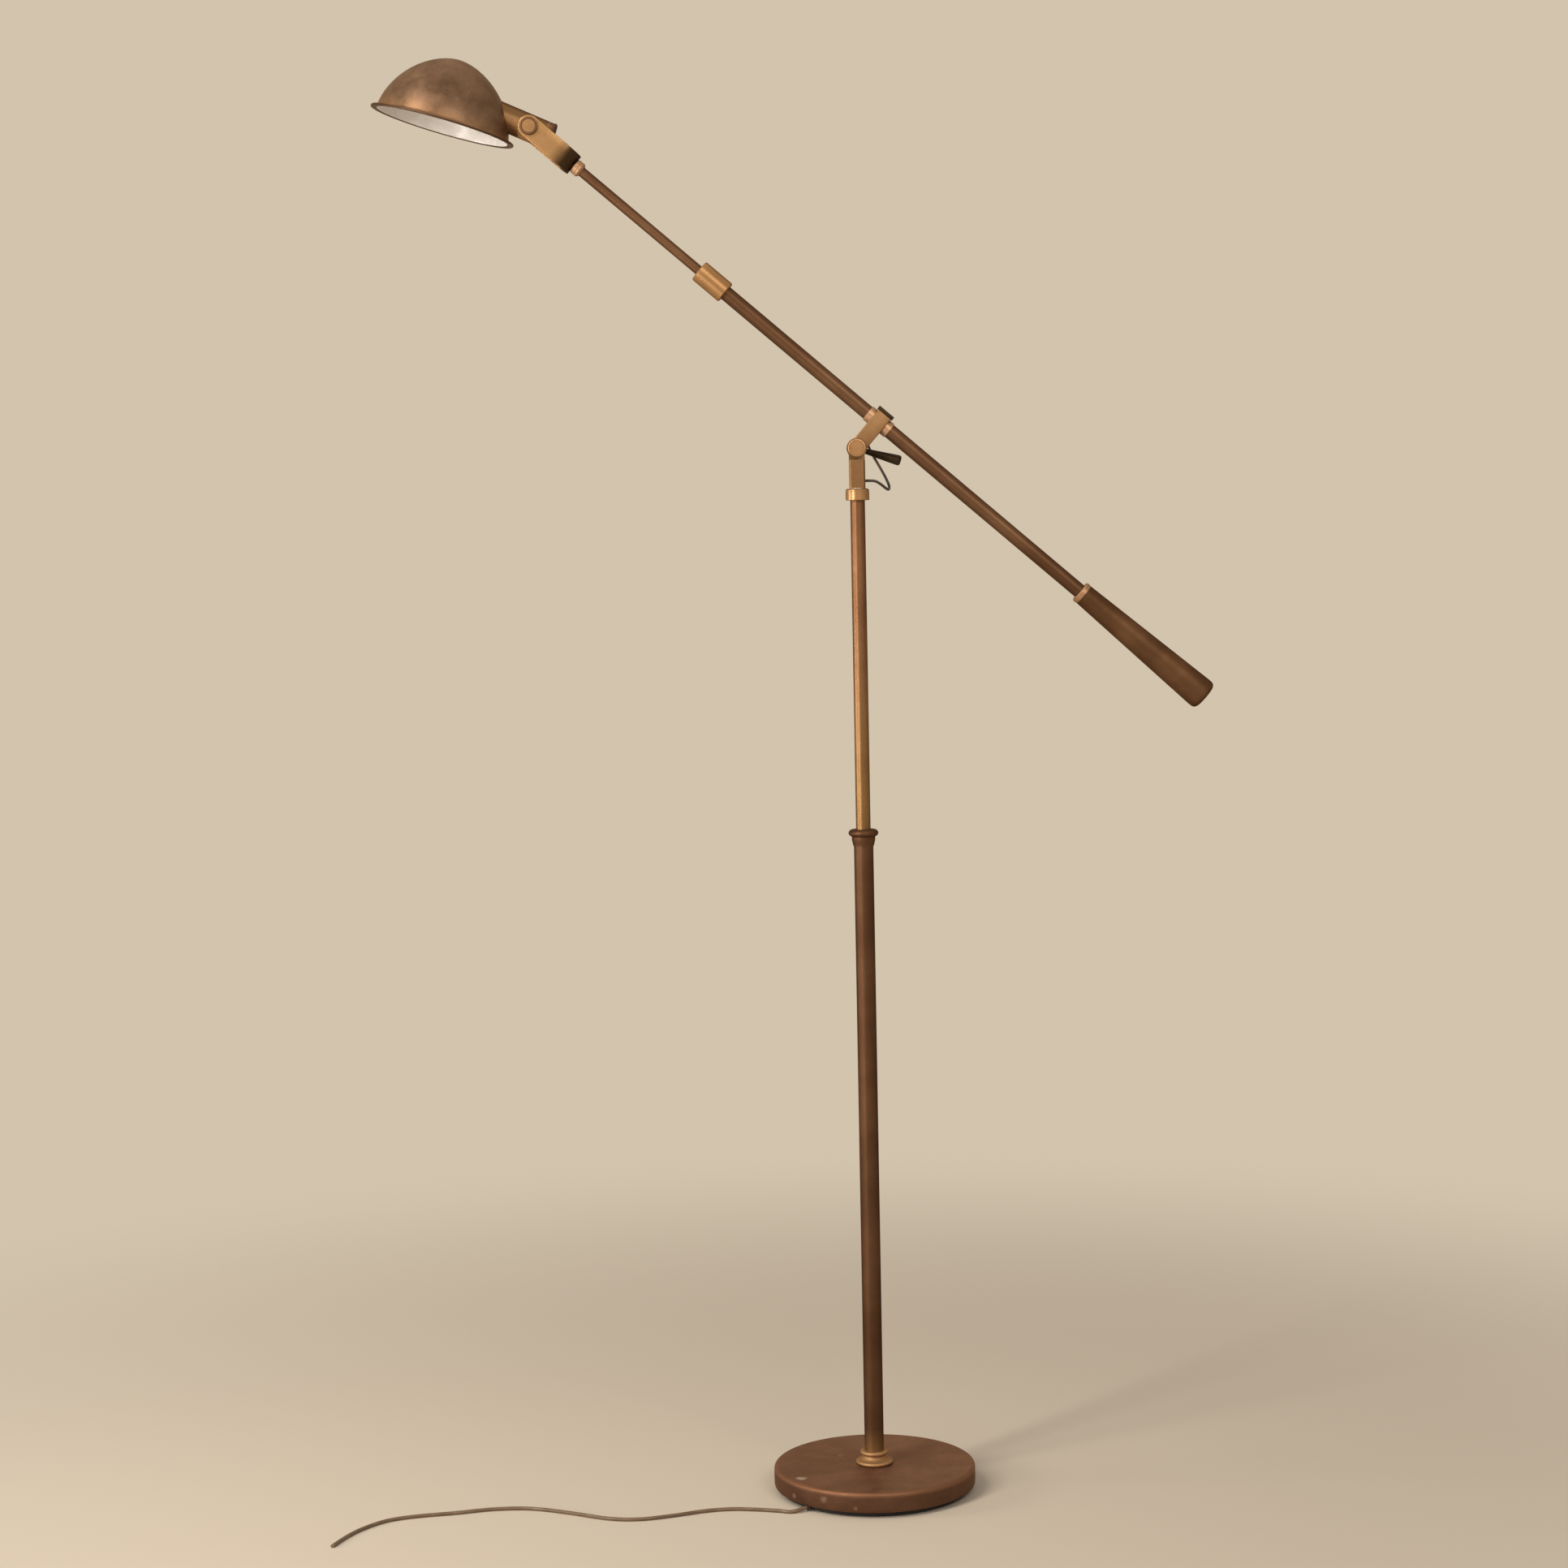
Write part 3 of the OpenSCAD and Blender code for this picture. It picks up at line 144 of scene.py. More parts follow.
# %% A tube along a route
def lead_tube(name, route, radius, sides=20):
    """A closed tube mesh. Its UV map runs along the lead in metres and once round it."""
    rings, normal = [], Vector((0, 0, 1))
    for i, point in enumerate(route):
        ahead = (route[min(i + 1, len(route) - 1)] - route[max(i - 1, 0)]).normalized()
        normal = (normal - ahead * normal.dot(ahead)).normalized()
        side = ahead.cross(normal)
        rings.append([point + radius * (math.cos(t) * normal + math.sin(t) * side)
                      for t in (2 * math.pi * k / sides for k in range(sides))])
    count = len(rings)
    points = [p for ring in rings for p in ring] + [route[0], route[-1]]
    faces = [(i * sides + k, i * sides + (k + 1) % sides,
              (i + 1) * sides + (k + 1) % sides, (i + 1) * sides + k)
             for i in range(count - 1) for k in range(sides)]
    faces += [((k + 1) % sides, k, count * sides) for k in range(sides)]
    base = (count - 1) * sides
    faces += [(base + k, base + (k + 1) % sides, count * sides + 1) for k in range(sides)]
    mesh = bpy.data.meshes.new(name)
    mesh.from_pydata(points, [], faces)
    along, at = [0.0], 0.0
    for a, b in zip(route, route[1:]):
        at += (b - a).length
        along.append(at)
    layer = mesh.uv_layers.new(name="UVMap")
    for face in mesh.polygons:
        face.use_smooth = face.index < (count - 1) * sides
        around = [v % sides for v in face.vertices]
        for loop, v in zip(face.loop_indices, face.vertices):
            k = v % sides
            if k == 0 and max(around) == sides - 1:
                k = sides
            ring = min(v // sides, count - 1)
            layer.data[loop].uv = (along[ring], k / sides)
    piece = bpy.data.objects.new(name, mesh)
    bpy.context.scene.collection.objects.link(piece)
    return piece


# %% The mains lead
outlet = math.radians(-134)
outward = Vector((math.cos(outlet), math.sin(outlet), 0))
lead_z, floor_z = 5.3 * MM, 2.45 * MM
grommet_end = 130.0 * MM
lead_exit = grommet_end * outward + Vector((0, 0, lead_z))
lead_straight = (grommet_end + 3 * MM) * outward + Vector((0, 0, lead_z))
floor_points = [(-111, -102), (-128, -97), (-156, -90), (-190, -86), (-224, -92), (-264, -108),
                (-306, -120), (-347, -115), (-400, -88), (-450, -68), (-498, -67), (-549, -80),
                (-596, -90), (-632, -105), (-659, -134), (-677, -167), (-690, -203)]
mains_points = [lead_straight] + [(x * MM, y * MM, floor_z) for x, y in floor_points]
mains_route = [lead_exit] + smooth_route(mains_points, 8)
mains_lead = lead_tube("mains_lead", mains_route, 2.4 * MM)
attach(mains_lead, "base")
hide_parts("power_cord")
print("mains lead", round(route_length(mains_route), 4), "m")

# %% [markdown]
# The lead that feeds the head runs inside the tubes, and shows only where it has to pass the
# knuckle: it leaves the post's right side, hangs in a short loop behind the lever and goes into
# the back of the clamp. When the boom tilts, the loop bends: its points follow the knuckle at one
# end and the boom at the other, changing over low in the loop, so most of it goes with the boom
# and keeps clear of the lever, which goes with the boom too. Here the loop is built only at rest,
# as one fixed tube.

# %% The loop of lead past the knuckle
loop_points = [(23.5, 0.4, -43), (30.5, 2.6, -47), (36.6, 7, -51.8), (40.8, 13, -53.6),
               (41.8, 19.4, -49.2), (38.6, 23.8, -40.4), (32.8, 27, -28.8), (26.2, 29.3, -16.8),
               (19.8, 30.2, -5.4), (15.2, 27.8, 5.8), (13.8, 22.4, 13)]
loop_start = Vector((10.3 * MM, 0, 1329 * MM))
loop_inlet = boom_frame @ Vector((0, 12.3 * MM, 21 * MM))
loop_line = ([loop_start, loop_start + Vector((6 * MM, 0, 0))]
             + [(x * MM, y * MM, pivot_z + z * MM) for x, y, z in loop_points]
             + [loop_inlet + Vector((0, 4 * MM, 0)), loop_inlet])
loop_route = smooth_route(loop_line, 8)
loop_lead = lead_tube("knuckle_lead", loop_route, 1.8 * MM, sides=16)
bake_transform(loop_lead)
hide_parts("pivot_cord")
print("knuckle loop", round(route_length(loop_route), 4), "m")

# %% [markdown]
# ## Node trees
#
# Floor, world and finishes are all small node trees. Each helper adds one node, feeds its inputs
# and gives back the socket that carries its result. The Bevel node compares a corner's rounded
# normal with its true one, which marks worn edges without any camera trick.


# %% Node helpers
def feed(tree, socket, value):
    """Links a socket to an input, or sets the input to a constant."""
    if isinstance(value, bpy.types.NodeSocket):
        tree.links.new(value, socket)
    elif socket.type == "RGBA" and len(value) == 3:
        socket.default_value = (*value, 1)
    else:
        socket.default_value = value


def add(tree, kind, *inputs, **values):
    """Adds a shader node. Its inputs are fed in order or by name, its settings by attribute."""
    node = tree.nodes.new(kind)
    for key, value in [*values.items(), *enumerate(inputs)]:
        if isinstance(key, int) or key in node.inputs:
            feed(tree, node.inputs[key], value)
        else:
            setattr(node, key, value)
    return node


def arithmetic(tree, operation, a, b, clamp=False):
    return add(tree, "ShaderNodeMath", a, b, operation=operation, use_clamp=clamp).outputs[0]


def remap(tree, value, low, high, to_low=0.0, to_high=1.0):
    return add(tree, "ShaderNodeMapRange", value, low, high, to_low, to_high).outputs["Result"]


def coordinates(tree, turned=(0, 0, 0), stretch=(1, 1, 1), centre=(0, 0, 0)):
    """Object coordinates moved to a centre, turned to a piece's own axis and then stretched."""
    place = add(tree, "ShaderNodeTexCoord").outputs["Object"]
    shift = add(tree, "ShaderNodeVectorMath", place, centre, operation="SUBTRACT").outputs[0]
    spin = add(tree, "ShaderNodeMapping", shift, Rotation=turned).outputs[0]
    return add(tree, "ShaderNodeMapping", spin, Scale=stretch).outputs[0]


def part_of(tree, vector, axis):
    return add(tree, "ShaderNodeSeparateXYZ", vector).outputs[axis]


def noise(tree, vector, scale, detail=3.0, rough=0.55):
    return add(tree, "ShaderNodeTexNoise", vector, Scale=scale, Detail=detail,
               Roughness=rough).outputs["Fac"]


def ramp(tree, value, *stops):
    """A colour ramp. Stops are (position, colour), and a colour may be one grey number."""
    node = add(tree, "ShaderNodeValToRGB", value)
    elements = node.color_ramp.elements
    while len(elements) < len(stops):
        elements.new(0.5)
    for element, (position, colour) in zip(elements, stops):
        element.position = position
        element.color = (*(colour if isinstance(colour, tuple) else (colour,) * 3), 1)
    return node.outputs["Color"]


def three_tones(tree, value, tones, reach=0.2):
    """A ramp over three tones, spread evenly about the middle of a noise."""
    return ramp(tree, value, *zip((0.5 - reach, 0.5, 0.5 + reach), tones))


def mixed(tree, factor, a, b, blend="MIX"):
    """Mixes two colours; each of the three inputs is a socket or a value."""
    node = add(tree, "ShaderNodeMix", factor, data_type="RGBA", blend_type=blend)
    feed(tree, node.inputs[6], a)
    feed(tree, node.inputs[7], b)
    return node.outputs[2]


def shaded(tree, share, colour, value, *stops):
    """Darkens and lightens a colour, by grey stops along a noise."""
    return mixed(tree, share, colour, ramp(tree, value, *stops), "MULTIPLY")


def worn_edges(tree, radius, breakup):
    """White on edges and corners that a hand or cloth would rub, broken up by a noise."""
    rounded = add(tree, "ShaderNodeBevel", Radius=radius, samples=4).outputs[0]
    true = add(tree, "ShaderNodeNewGeometry").outputs["Normal"]
    dot = add(tree, "ShaderNodeVectorMath", rounded, true, operation="DOT_PRODUCT")
    edge = remap(tree, dot.outputs["Value"], 0.995, 0.86)
    return arithmetic(tree, "MULTIPLY", edge, breakup, clamp=True)


def new_finish(name):
    """A material, its node tree and its Principled shader."""
    finish = bpy.data.materials.new(name)
    finish.use_nodes = True
    return finish, finish.node_tree, finish.node_tree.nodes["Principled BSDF"]


def surface(tree, shader, colour, dull, rough, height, bump, metallic=0.0, tint=(1, 1, 1),
            level=0.5, coat=0.0):
    """Feeds a shader. Rough is the range that dull runs over, bump a strength and a depth."""
    relief = add(tree, "ShaderNodeBump", Strength=bump[0], Distance=bump[1], Height=height)
    for name, value in (("Base Color", colour), ("Metallic", metallic), ("Coat Weight", coat),
                        ("Roughness", remap(tree, dull, 0.3, 0.7, *rough)),
                        ("Specular Tint", tint), ("Specular IOR Level", level),
                        ("Normal", relief.outputs[0])):
        feed(tree, shader.inputs[name], value)


def any_view_ray(tree):
    """1 for the rays that see: from the camera, or on from metal or glass. 0 for light rays."""
    path = add(tree, "ShaderNodeLightPath").outputs
    seen = arithmetic(tree, "MAXIMUM", path["Is Camera Ray"], path["Is Glossy Ray"])
    return arithmetic(tree, "MAXIMUM", seen, path["Is Transmission Ray"])


def two_shaders(tree, share, first, second, output):
    both = add(tree, "ShaderNodeMixShader", share, first.outputs[0], second.outputs[0])
    feed(tree, output.inputs["Surface"], both.outputs[0])


print("node helpers ready")

# %% [markdown]
# ## The studio
#
# The floor is one plain pale plane. It fades with distance into the world's own tone, so that no
# horizon cuts behind the lamp, while near the lamp it is lit and keeps the shadow.
#
# Brass only looks like brass when it has something to mirror, and each light has one job here. A
# tall window stands high at the front left, where the photograph's daylight comes from. A narrow
# strip beside it draws the bright line down the column's left third. A square light at the front
# right gives the sloping boom and the counterweight their highlight, which a light on the left
# can't do, because it runs along them. A small one low at the left looks up into the dome.

# %% Floor
bpy.ops.mesh.primitive_plane_add(size=40)
floor = bpy.context.object
floor.name = "studio_floor"
backdrop = (0.65, 0.55, 0.42, 1)
floor_finish, tree, shader = new_finish("pale_floor")
for name, value in (("Base Color", (0.70, 0.60, 0.475)), ("Roughness", 0.9),
                    ("Specular IOR Level", 0.2)):
    feed(tree, shader.inputs[name], value)
far_tone = add(tree, "ShaderNodeEmission", Color=backdrop)
spot_on = add(tree, "ShaderNodeTexCoord").outputs["Object"]
distance = add(tree, "ShaderNodeVectorMath", spot_on, operation="LENGTH").outputs["Value"]
fade = remap(tree, distance, 0.5, 2.3)
fade.node.interpolation_type = "SMOOTHSTEP"
two_shaders(tree, arithmetic(tree, "MULTIPLY", fade, any_view_ray(tree)), shader, far_tone,
            tree.nodes["Material Output"])
floor.data.materials.append(floor_finish)
print("floor", floor.dimensions[:2])

# %% World
world = bpy.data.worlds.new("studio_world")
bpy.context.scene.world = world
world.use_nodes = True
tree = world.node_tree
tree.nodes.clear()
seen = add(tree, "ShaderNodeBackground", Color=backdrop, Strength=1.0)
lighting = add(tree, "ShaderNodeBackground", Color=(1.0, 0.96, 0.9), Strength=0.22)
two_shaders(tree, any_view_ray(tree), lighting, seen, add(tree, "ShaderNodeOutputWorld"))
print("world strength", lighting.inputs["Strength"].default_value)


# %% Lights
def soft_light(name, place, target, width, height, power, colour):
    data = bpy.data.lights.new(name, "AREA")
    data.shape = "RECTANGLE"
    data.size, data.size_y = width, height
    data.energy = power
    data.color = colour
    lamp = bpy.data.objects.new(name, data)
    lamp.location = place
    lamp.rotation_euler = (Vector(target) - Vector(place)).to_track_quat("-Z", "Y").to_euler()
    bpy.context.scene.collection.objects.link(lamp)
    return lamp


soft_light("window_light", (-2.3, -2.0, 3.2), (0, 0, 1.1), 1.0, 2.6, 80, (1.0, 0.93, 0.85))
soft_light("left_strip", (-2.4, -2.5, 1.1), (0, 0, 1.1), 0.45, 2.4, 50, (1.0, 0.94, 0.88))
soft_light("front_key", (1.3, -3.46, 2.9), (0, 0, 1.3), 2.2, 1.4, 48, (1.0, 0.95, 0.90))
soft_light("overhead", (0.2, 0.4, 3.6), (0, 0, 1.0), 2.4, 1.6, 8, (1.0, 0.97, 0.94))
soft_light("dome_light", (-2.6, -0.30, 0.95), (-0.54, 0, 1.84), 0.7, 0.7, 20, (1.0, 0.96, 0.92))
bpy.context.scene.view_settings.view_transform = "Standard"

# %% [markdown]
# ## Old bronze and brass, from nodes
#
# The finish is not one colour. The metal was browned in a bath, so the tone drifts over
# centimetres; the lacquer is dull and bright in small specks; tubes show faint streaks along
# their length from polishing; and edges are rubbed back to a lighter metal. One recipe makes all
# of these on Object coordinates, and each finish sets its own amounts. The edge tint is a dark
# brown, because a browned metal doesn't turn white where it is seen at a glance.


# %% The aged metal recipe
def aged_metal(name, tones, rubbed, metallic=0.75, rough=(0.42, 0.5), turned=(0, 0, 0),
               stretch=(1, 1, 1), streak=0.15, patch=7.0, change=None):
    """Browned metal: drifting tones, fine specks, streaks along the piece and rubbed edges.

    A change is (axis, start, end, colour): another tone that takes over along one axis.
    """
    finish, tree, shader = new_finish(name)
    plain = coordinates(tree, turned)
    drift = noise(tree, plain, patch, 4.0, 0.6)
    speck = noise(tree, plain, 420.0, 3.0, 0.7)
    line = noise(tree, coordinates(tree, turned, stretch), 90.0, 3.0, 0.6)
    colour = three_tones(tree, drift, tones, 0.18)
    if change:
        axis, start, end, other = change
        colour = mixed(tree, remap(tree, part_of(tree, plain, axis), start, end), colour, other)
    colour = shaded(tree, 0.15, colour, speck, (0.3, 0.62), (0.5, 1.0), (0.72, 1.22))
    colour = shaded(tree, streak, colour, line, (0.32, 0.6), (0.5, 1.0), (0.7, 1.3))
    wear = worn_edges(tree, 1.4 * MM, remap(tree, drift, 0.35, 0.6, 0.35, 0.9))
    dull = arithmetic(tree, "ADD", arithmetic(tree, "MULTIPLY", speck, 0.12),
                      arithmetic(tree, "MULTIPLY", line, 0.88))
    surface(tree, shader, mixed(tree, wear, colour, rubbed), dull, rough,
            arithmetic(tree, "ADD", speck, line), (0.05, 0.3 * MM), metallic, dark_edge, 0.25)
    return finish


dark_edge = (0.16, 0.09, 0.05)
along_column = dict(stretch=(1, 1, 0.03))
along_boom = dict(turned=(0, -boom_turn, 0), stretch=(0.03, 1, 1))
along_head = dict(turned=(0, -head_turn, 0), stretch=(0.05, 1, 1))
round_axis = dict(stretch=(0.2, 0.2, 1))
print("recipe ready")

# %% [markdown]
# The tubes, the boom and the counterweight are dark browns of one family, and the column glows
# like brass where it meets the spool. The clamp and post are aged brass. The bush, the ferrule
# and the neck ring are pinker. The collar, housing and yoke are brass that was rubbed bright; the
# housing's top and the yoke's bend are painted darker as painted shade. The lever and plate are
# nearly black.

# %% Metal finishes
tube_tones = ((0.160, 0.076, 0.036), (0.205, 0.101, 0.050), (0.255, 0.134, 0.070))
foot_tones = ((0.074, 0.035, 0.018), (0.106, 0.052, 0.027), (0.148, 0.076, 0.040))
boom_tones = ((0.092, 0.044, 0.022), (0.122, 0.061, 0.031), (0.162, 0.086, 0.045))
weight_tones = ((0.094, 0.045, 0.021), (0.130, 0.065, 0.031), (0.178, 0.092, 0.046))
post_tones = ((0.185, 0.098, 0.043), (0.235, 0.128, 0.058), (0.290, 0.165, 0.078))
spool_tones = ((0.300, 0.168, 0.078), (0.420, 0.242, 0.116), (0.540, 0.322, 0.160))
pink_tones = ((0.340, 0.192, 0.104), (0.430, 0.250, 0.140), (0.520, 0.315, 0.185))
brass_tones = ((0.330, 0.180, 0.082), (0.420, 0.235, 0.110), (0.510, 0.296, 0.146))
bright_tones = ((0.290, 0.152, 0.064), (0.370, 0.204, 0.088), (0.460, 0.266, 0.122))
black_tones = ((0.014, 0.009, 0.005), (0.028, 0.018, 0.010), (0.060, 0.040, 0.022))

tube_metal = aged_metal("column_bronze", foot_tones, (0.22, 0.12, 0.06), **along_column,
                        change=(2, 0.082, 0.054, (0.230, 0.130, 0.056)))
boom_metal = aged_metal("boom_bronze", boom_tones, (0.22, 0.12, 0.06), **along_boom)
weight_metal = aged_metal("handle_bronze", weight_tones, (0.22, 0.12, 0.06), patch=12.0,
                          rough=(0.5, 0.58), **along_boom)
post_brass = aged_metal("post_brass", post_tones, (0.40, 0.25, 0.13), **along_column)
clamp_brass = aged_metal("clamp_brass", post_tones, (0.38, 0.23, 0.12), **along_boom)
sleeve_brass = aged_metal("sleeve_brass", pink_tones, (0.66, 0.45, 0.30), **along_boom)
turned_brass = aged_metal("turned_brass", brass_tones, (0.55, 0.35, 0.18), rough=(0.26, 0.34),
                          **round_axis)
spool_brass = aged_metal("spool_brass", spool_tones, (0.40, 0.25, 0.13), rough=(0.5, 0.6),
                         **round_axis)
boom_brass = aged_metal("collar_brass", bright_tones, (0.55, 0.34, 0.17), rough=(0.34, 0.42),
                        **along_boom)
# The housing's top is painted darker as painted shade: the dark tone fades in over the 13 mm above
# the pivot's level and covers everything above that.
head_level = (head_frame.translation.x * math.sin(head_turn)
              + head_frame.translation.z * math.cos(head_turn))
housing_brass = aged_metal("housing_brass", brass_tones, (0.60, 0.38, 0.20), rough=(0.26, 0.34),
                           **along_head, change=(2, head_level, head_level + 13 * MM,
                                                 (0.150, 0.082, 0.036)))
# The closed end of the yoke's bend is painted dark as painted shade, fading in over 9 mm each side
# of the bend's middle.
bend_middle = ferrule_tip - 22 * MM - pivot_z * math.sin(boom_turn)
yoke_brass = aged_metal("yoke_brass", bright_tones, (0.55, 0.34, 0.17), rough=(0.26, 0.34),
                        **along_boom, change=(0, bend_middle - 9 * MM, bend_middle + 9 * MM,
                                              (0.060, 0.036, 0.018)))
rod_metal = aged_metal("rod_bronze", boom_tones, (0.20, 0.11, 0.055), **along_boom)
black_metal = aged_metal("blackened_metal", black_tones, (0.12, 0.080, 0.048), metallic=0.5,
                         rough=(0.28, 0.42), streak=0.6, **along_boom)
print("metal finishes", 13)

# %% [markdown]
# Plain finishes cover what is inside or underneath: iron, zinc-plated steel, nylon bushes, felt,
# rubber and porcelain. They are seen little, yet each still gets its own grain.


# %% Plain finishes
def grained(name, tones, rough, scale, bump_depth, metallic=0.0, grain=0.3):
    finish, tree, shader = new_finish(name)
    place = coordinates(tree)
    broad = noise(tree, place, scale * 0.08, 3.0)
    fine = noise(tree, place, scale, 4.0, 0.7)
    colour = shaded(tree, grain, ramp(tree, broad, (0.3, tones[0]), (0.7, tones[1])), fine,
                    (0.3, 0.6), (0.7, 1.25))
    surface(tree, shader, colour, fine, rough, fine, (0.3, bump_depth), metallic)
    return finish


iron = grained("cast_iron", ((0.012, 0.010, 0.009), (0.028, 0.024, 0.021)), (0.7, 0.9), 600,
               0.0006, metallic=0.2, grain=0.6)
zinc = grained("zinc_steel", ((0.42, 0.42, 0.41), (0.6, 0.6, 0.58)), (0.25, 0.45), 350, 0.0001,
               metallic=0.9)
nylon = grained("nylon", ((0.62, 0.56, 0.44), (0.72, 0.67, 0.55)), (0.4, 0.55), 500, 0.0001)
felt = grained("felt", ((0.018, 0.016, 0.014), (0.04, 0.036, 0.032)), (0.9, 1.0), 900, 0.0008,
               grain=0.8)
rubber = grained("rubber_bush", ((0.02, 0.018, 0.016), (0.035, 0.032, 0.03)), (0.5, 0.7), 500,
                 0.0002)
porcelain = grained("porcelain", ((0.74, 0.71, 0.64), (0.82, 0.79, 0.73)), (0.12, 0.2), 60, 0.0001,
                    grain=0.1)
print("plain finishes", 6)

# %% [markdown]
# The leads are soft plastic. Their pattern follows the lead itself, so it reads the UV map that
# the tube was given: faint lengthwise flats from the two cores inside, and dust that dulls it.


# %% Lead finish
def lead_finish(name, tones, rough, paler_from=None, paler=(1, 1, 1)):
    """Soft plastic; from a length in metres on, a paler tone can take over."""
    finish, tree, shader = new_finish(name)
    uv = add(tree, "ShaderNodeUVMap", uv_map="UVMap").outputs[0]
    patches = noise(tree, add(tree, "ShaderNodeMapping", uv, Scale=(60, 3, 1)).outputs[0], 1.0,
                    4.0, 0.6)
    dust = noise(tree, add(tree, "ShaderNodeMapping", uv, Scale=(900, 40, 1)).outputs[0], 1.0,
                 3.0, 0.7)
    colour = ramp(tree, patches, (0.3, tones[0]), (0.7, tones[1]))
    if paler_from:
        share = remap(tree, part_of(tree, uv, "X"), paler_from, paler_from + 0.025)
        colour = mixed(tree, share, colour, paler)
    colour = shaded(tree, 0.5, colour, dust, (0.35, 0.75), (0.7, 1.3))
    surface(tree, shader, colour, dust, rough, dust, (0.2, 0.2 * MM), coat=0.15)
    return finish


mains_lead.data.materials.append(
    lead_finish("brown_lead", ((0.10, 0.058, 0.030), (0.20, 0.125, 0.070)), (0.35, 0.55)))
loop_lead.data.materials.append(
    lead_finish("dark_lead", ((0.020, 0.014, 0.008), (0.045, 0.031, 0.018)), (0.35, 0.55),
                paler_from=0.062, paler=(0.13, 0.076, 0.038)))
print("lead finishes", 2)

# %% [markdown]
# ## Turning on a lathe
#
# Nearly every part of this lamp was turned. In Blender a lathe is the Spin operator: one vertex
# is extruded along half of the part's outline, and the outline is spun round the axis. Doubles
# are merged where it closes, and the normals are recalculated, because a spin can turn a shape
# inside out. A narrow Bevel then breaks each sharp edge, so that it catches a line of light.


# %% Lathe helpers
def start_fresh():
    """Object mode with nothing selected, because an operator acts on all that is selected."""
    if bpy.context.mode != "OBJECT":
        bpy.ops.object.mode_set(mode="OBJECT")
    bpy.ops.object.select_all(action="DESELECT")


def make_active(piece):
    start_fresh()
    piece.select_set(True)
    bpy.context.view_layer.objects.active = piece


def drawn(name, outline, y=0.0):
    """A new piece in edit mode: an outline of (x, z) in millimetres, point by point."""
    start_fresh()
    bpy.ops.mesh.primitive_plane_add(size=MM)
    piece = bpy.context.object
    piece.name = name
    bpy.ops.object.mode_set(mode="EDIT")
    bpy.ops.mesh.select_mode(type="VERT")
    bpy.ops.mesh.select_all(action="SELECT")
    bpy.ops.mesh.merge(type="CENTER")
    bpy.ops.transform.translate(value=(outline[0][0] * MM, y * MM, outline[0][1] * MM))
    for a, b in zip(outline, outline[1:]):
        step = ((b[0] - a[0]) * MM, 0, (b[1] - a[1]) * MM)
        bpy.ops.mesh.extrude_region_move(TRANSFORM_OT_translate={"value": step})
    bpy.ops.mesh.select_all(action="SELECT")
    return piece


def turned(name, outline, steps=96):
    """Spins an outline of (radius, height) in millimetres round Z."""
    piece = drawn(name, outline)
    bpy.ops.mesh.spin(steps=steps, angle=math.tau, center=(0, 0, 0), axis=(0, 0, 1))
    bpy.ops.mesh.select_all(action="SELECT")
    bpy.ops.mesh.remove_doubles(threshold=0.00001)
    bpy.ops.mesh.normals_make_consistent(inside=False)
    bpy.ops.object.mode_set(mode="OBJECT")
    return piece


def arc(centre_r, centre_z, radius, first, last, steps=6):
    """Outline points on an arc, with its angles in degrees from straight out."""
    return [(centre_r + radius * math.cos(math.radians(first + (last - first) * k / steps)),
             centre_z + radius * math.sin(math.radians(first + (last - first) * k / steps)))
            for k in range(steps + 1)]


def apply_modifier(piece, kind, **settings):
    make_active(piece)
    modifier = piece.modifiers.new(kind.lower(), kind)
    for key, value in settings.items():
        setattr(modifier, key, value)
    bpy.ops.object.modifier_apply(modifier=modifier.name)


def broken_edges(piece, width, segments=2, angle=30):
    """Bevels each edge that is sharper than the angle."""
    apply_modifier(piece, "BEVEL", width=width * MM, segments=segments, limit_method="ANGLE",
                   angle_limit=math.radians(angle), harden_normals=False)


def lay(piece, matrix):
    """Puts a piece in its place and moves the place into its mesh."""
    make_active(piece)
    piece.matrix_world = matrix
    bpy.ops.object.transform_apply(location=True, rotation=True, scale=True)


def finish_piece(piece, body, stands_for, slot_name, *finishes, smooth=35):
    """Smooth shading, the finish and the piece's body, and hides the nodes it stands for; slot_name
    is not used.
    """
    make_active(piece)
    bpy.ops.object.shade_smooth_by_angle(angle=math.radians(smooth))
    if finishes:
        piece.data.materials.clear()
        for each in finishes:
            piece.data.materials.append(each)
    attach(piece, body)
    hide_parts(*stands_for)
    print(piece.name, len(piece.data.polygons), "faces")


def turned_piece(name, outline, steps, body, stands_for, slot_name, finish, matrix=None):
    piece = turned(name, outline, steps)
    if matrix:
        lay(piece, matrix)
    finish_piece(piece, body, stands_for, slot_name, finish)


def with_copy(piece, first, second):
    """Copies a piece, lays the two by one matrix each, and joins them."""
    make_active(piece)
    bpy.ops.object.duplicate()
    other = bpy.context.object
    lay(other, second)
    lay(piece, first)
    other.select_set(True)
    bpy.ops.object.join()


# Bores in millimetres: for the thin tubes, the wide tube, the nipple and the pivot's bolt
thin_bore, wide_bore, nipple_bore, bolt_bore = 9.52, 12.72, 5.25, 4.05
upright_to_x = Matrix.Rotation(math.pi / 2, 4, "Y")
upright_to_y = Matrix.Rotation(-math.pi / 2, 4, "X")
print("lathe ready")
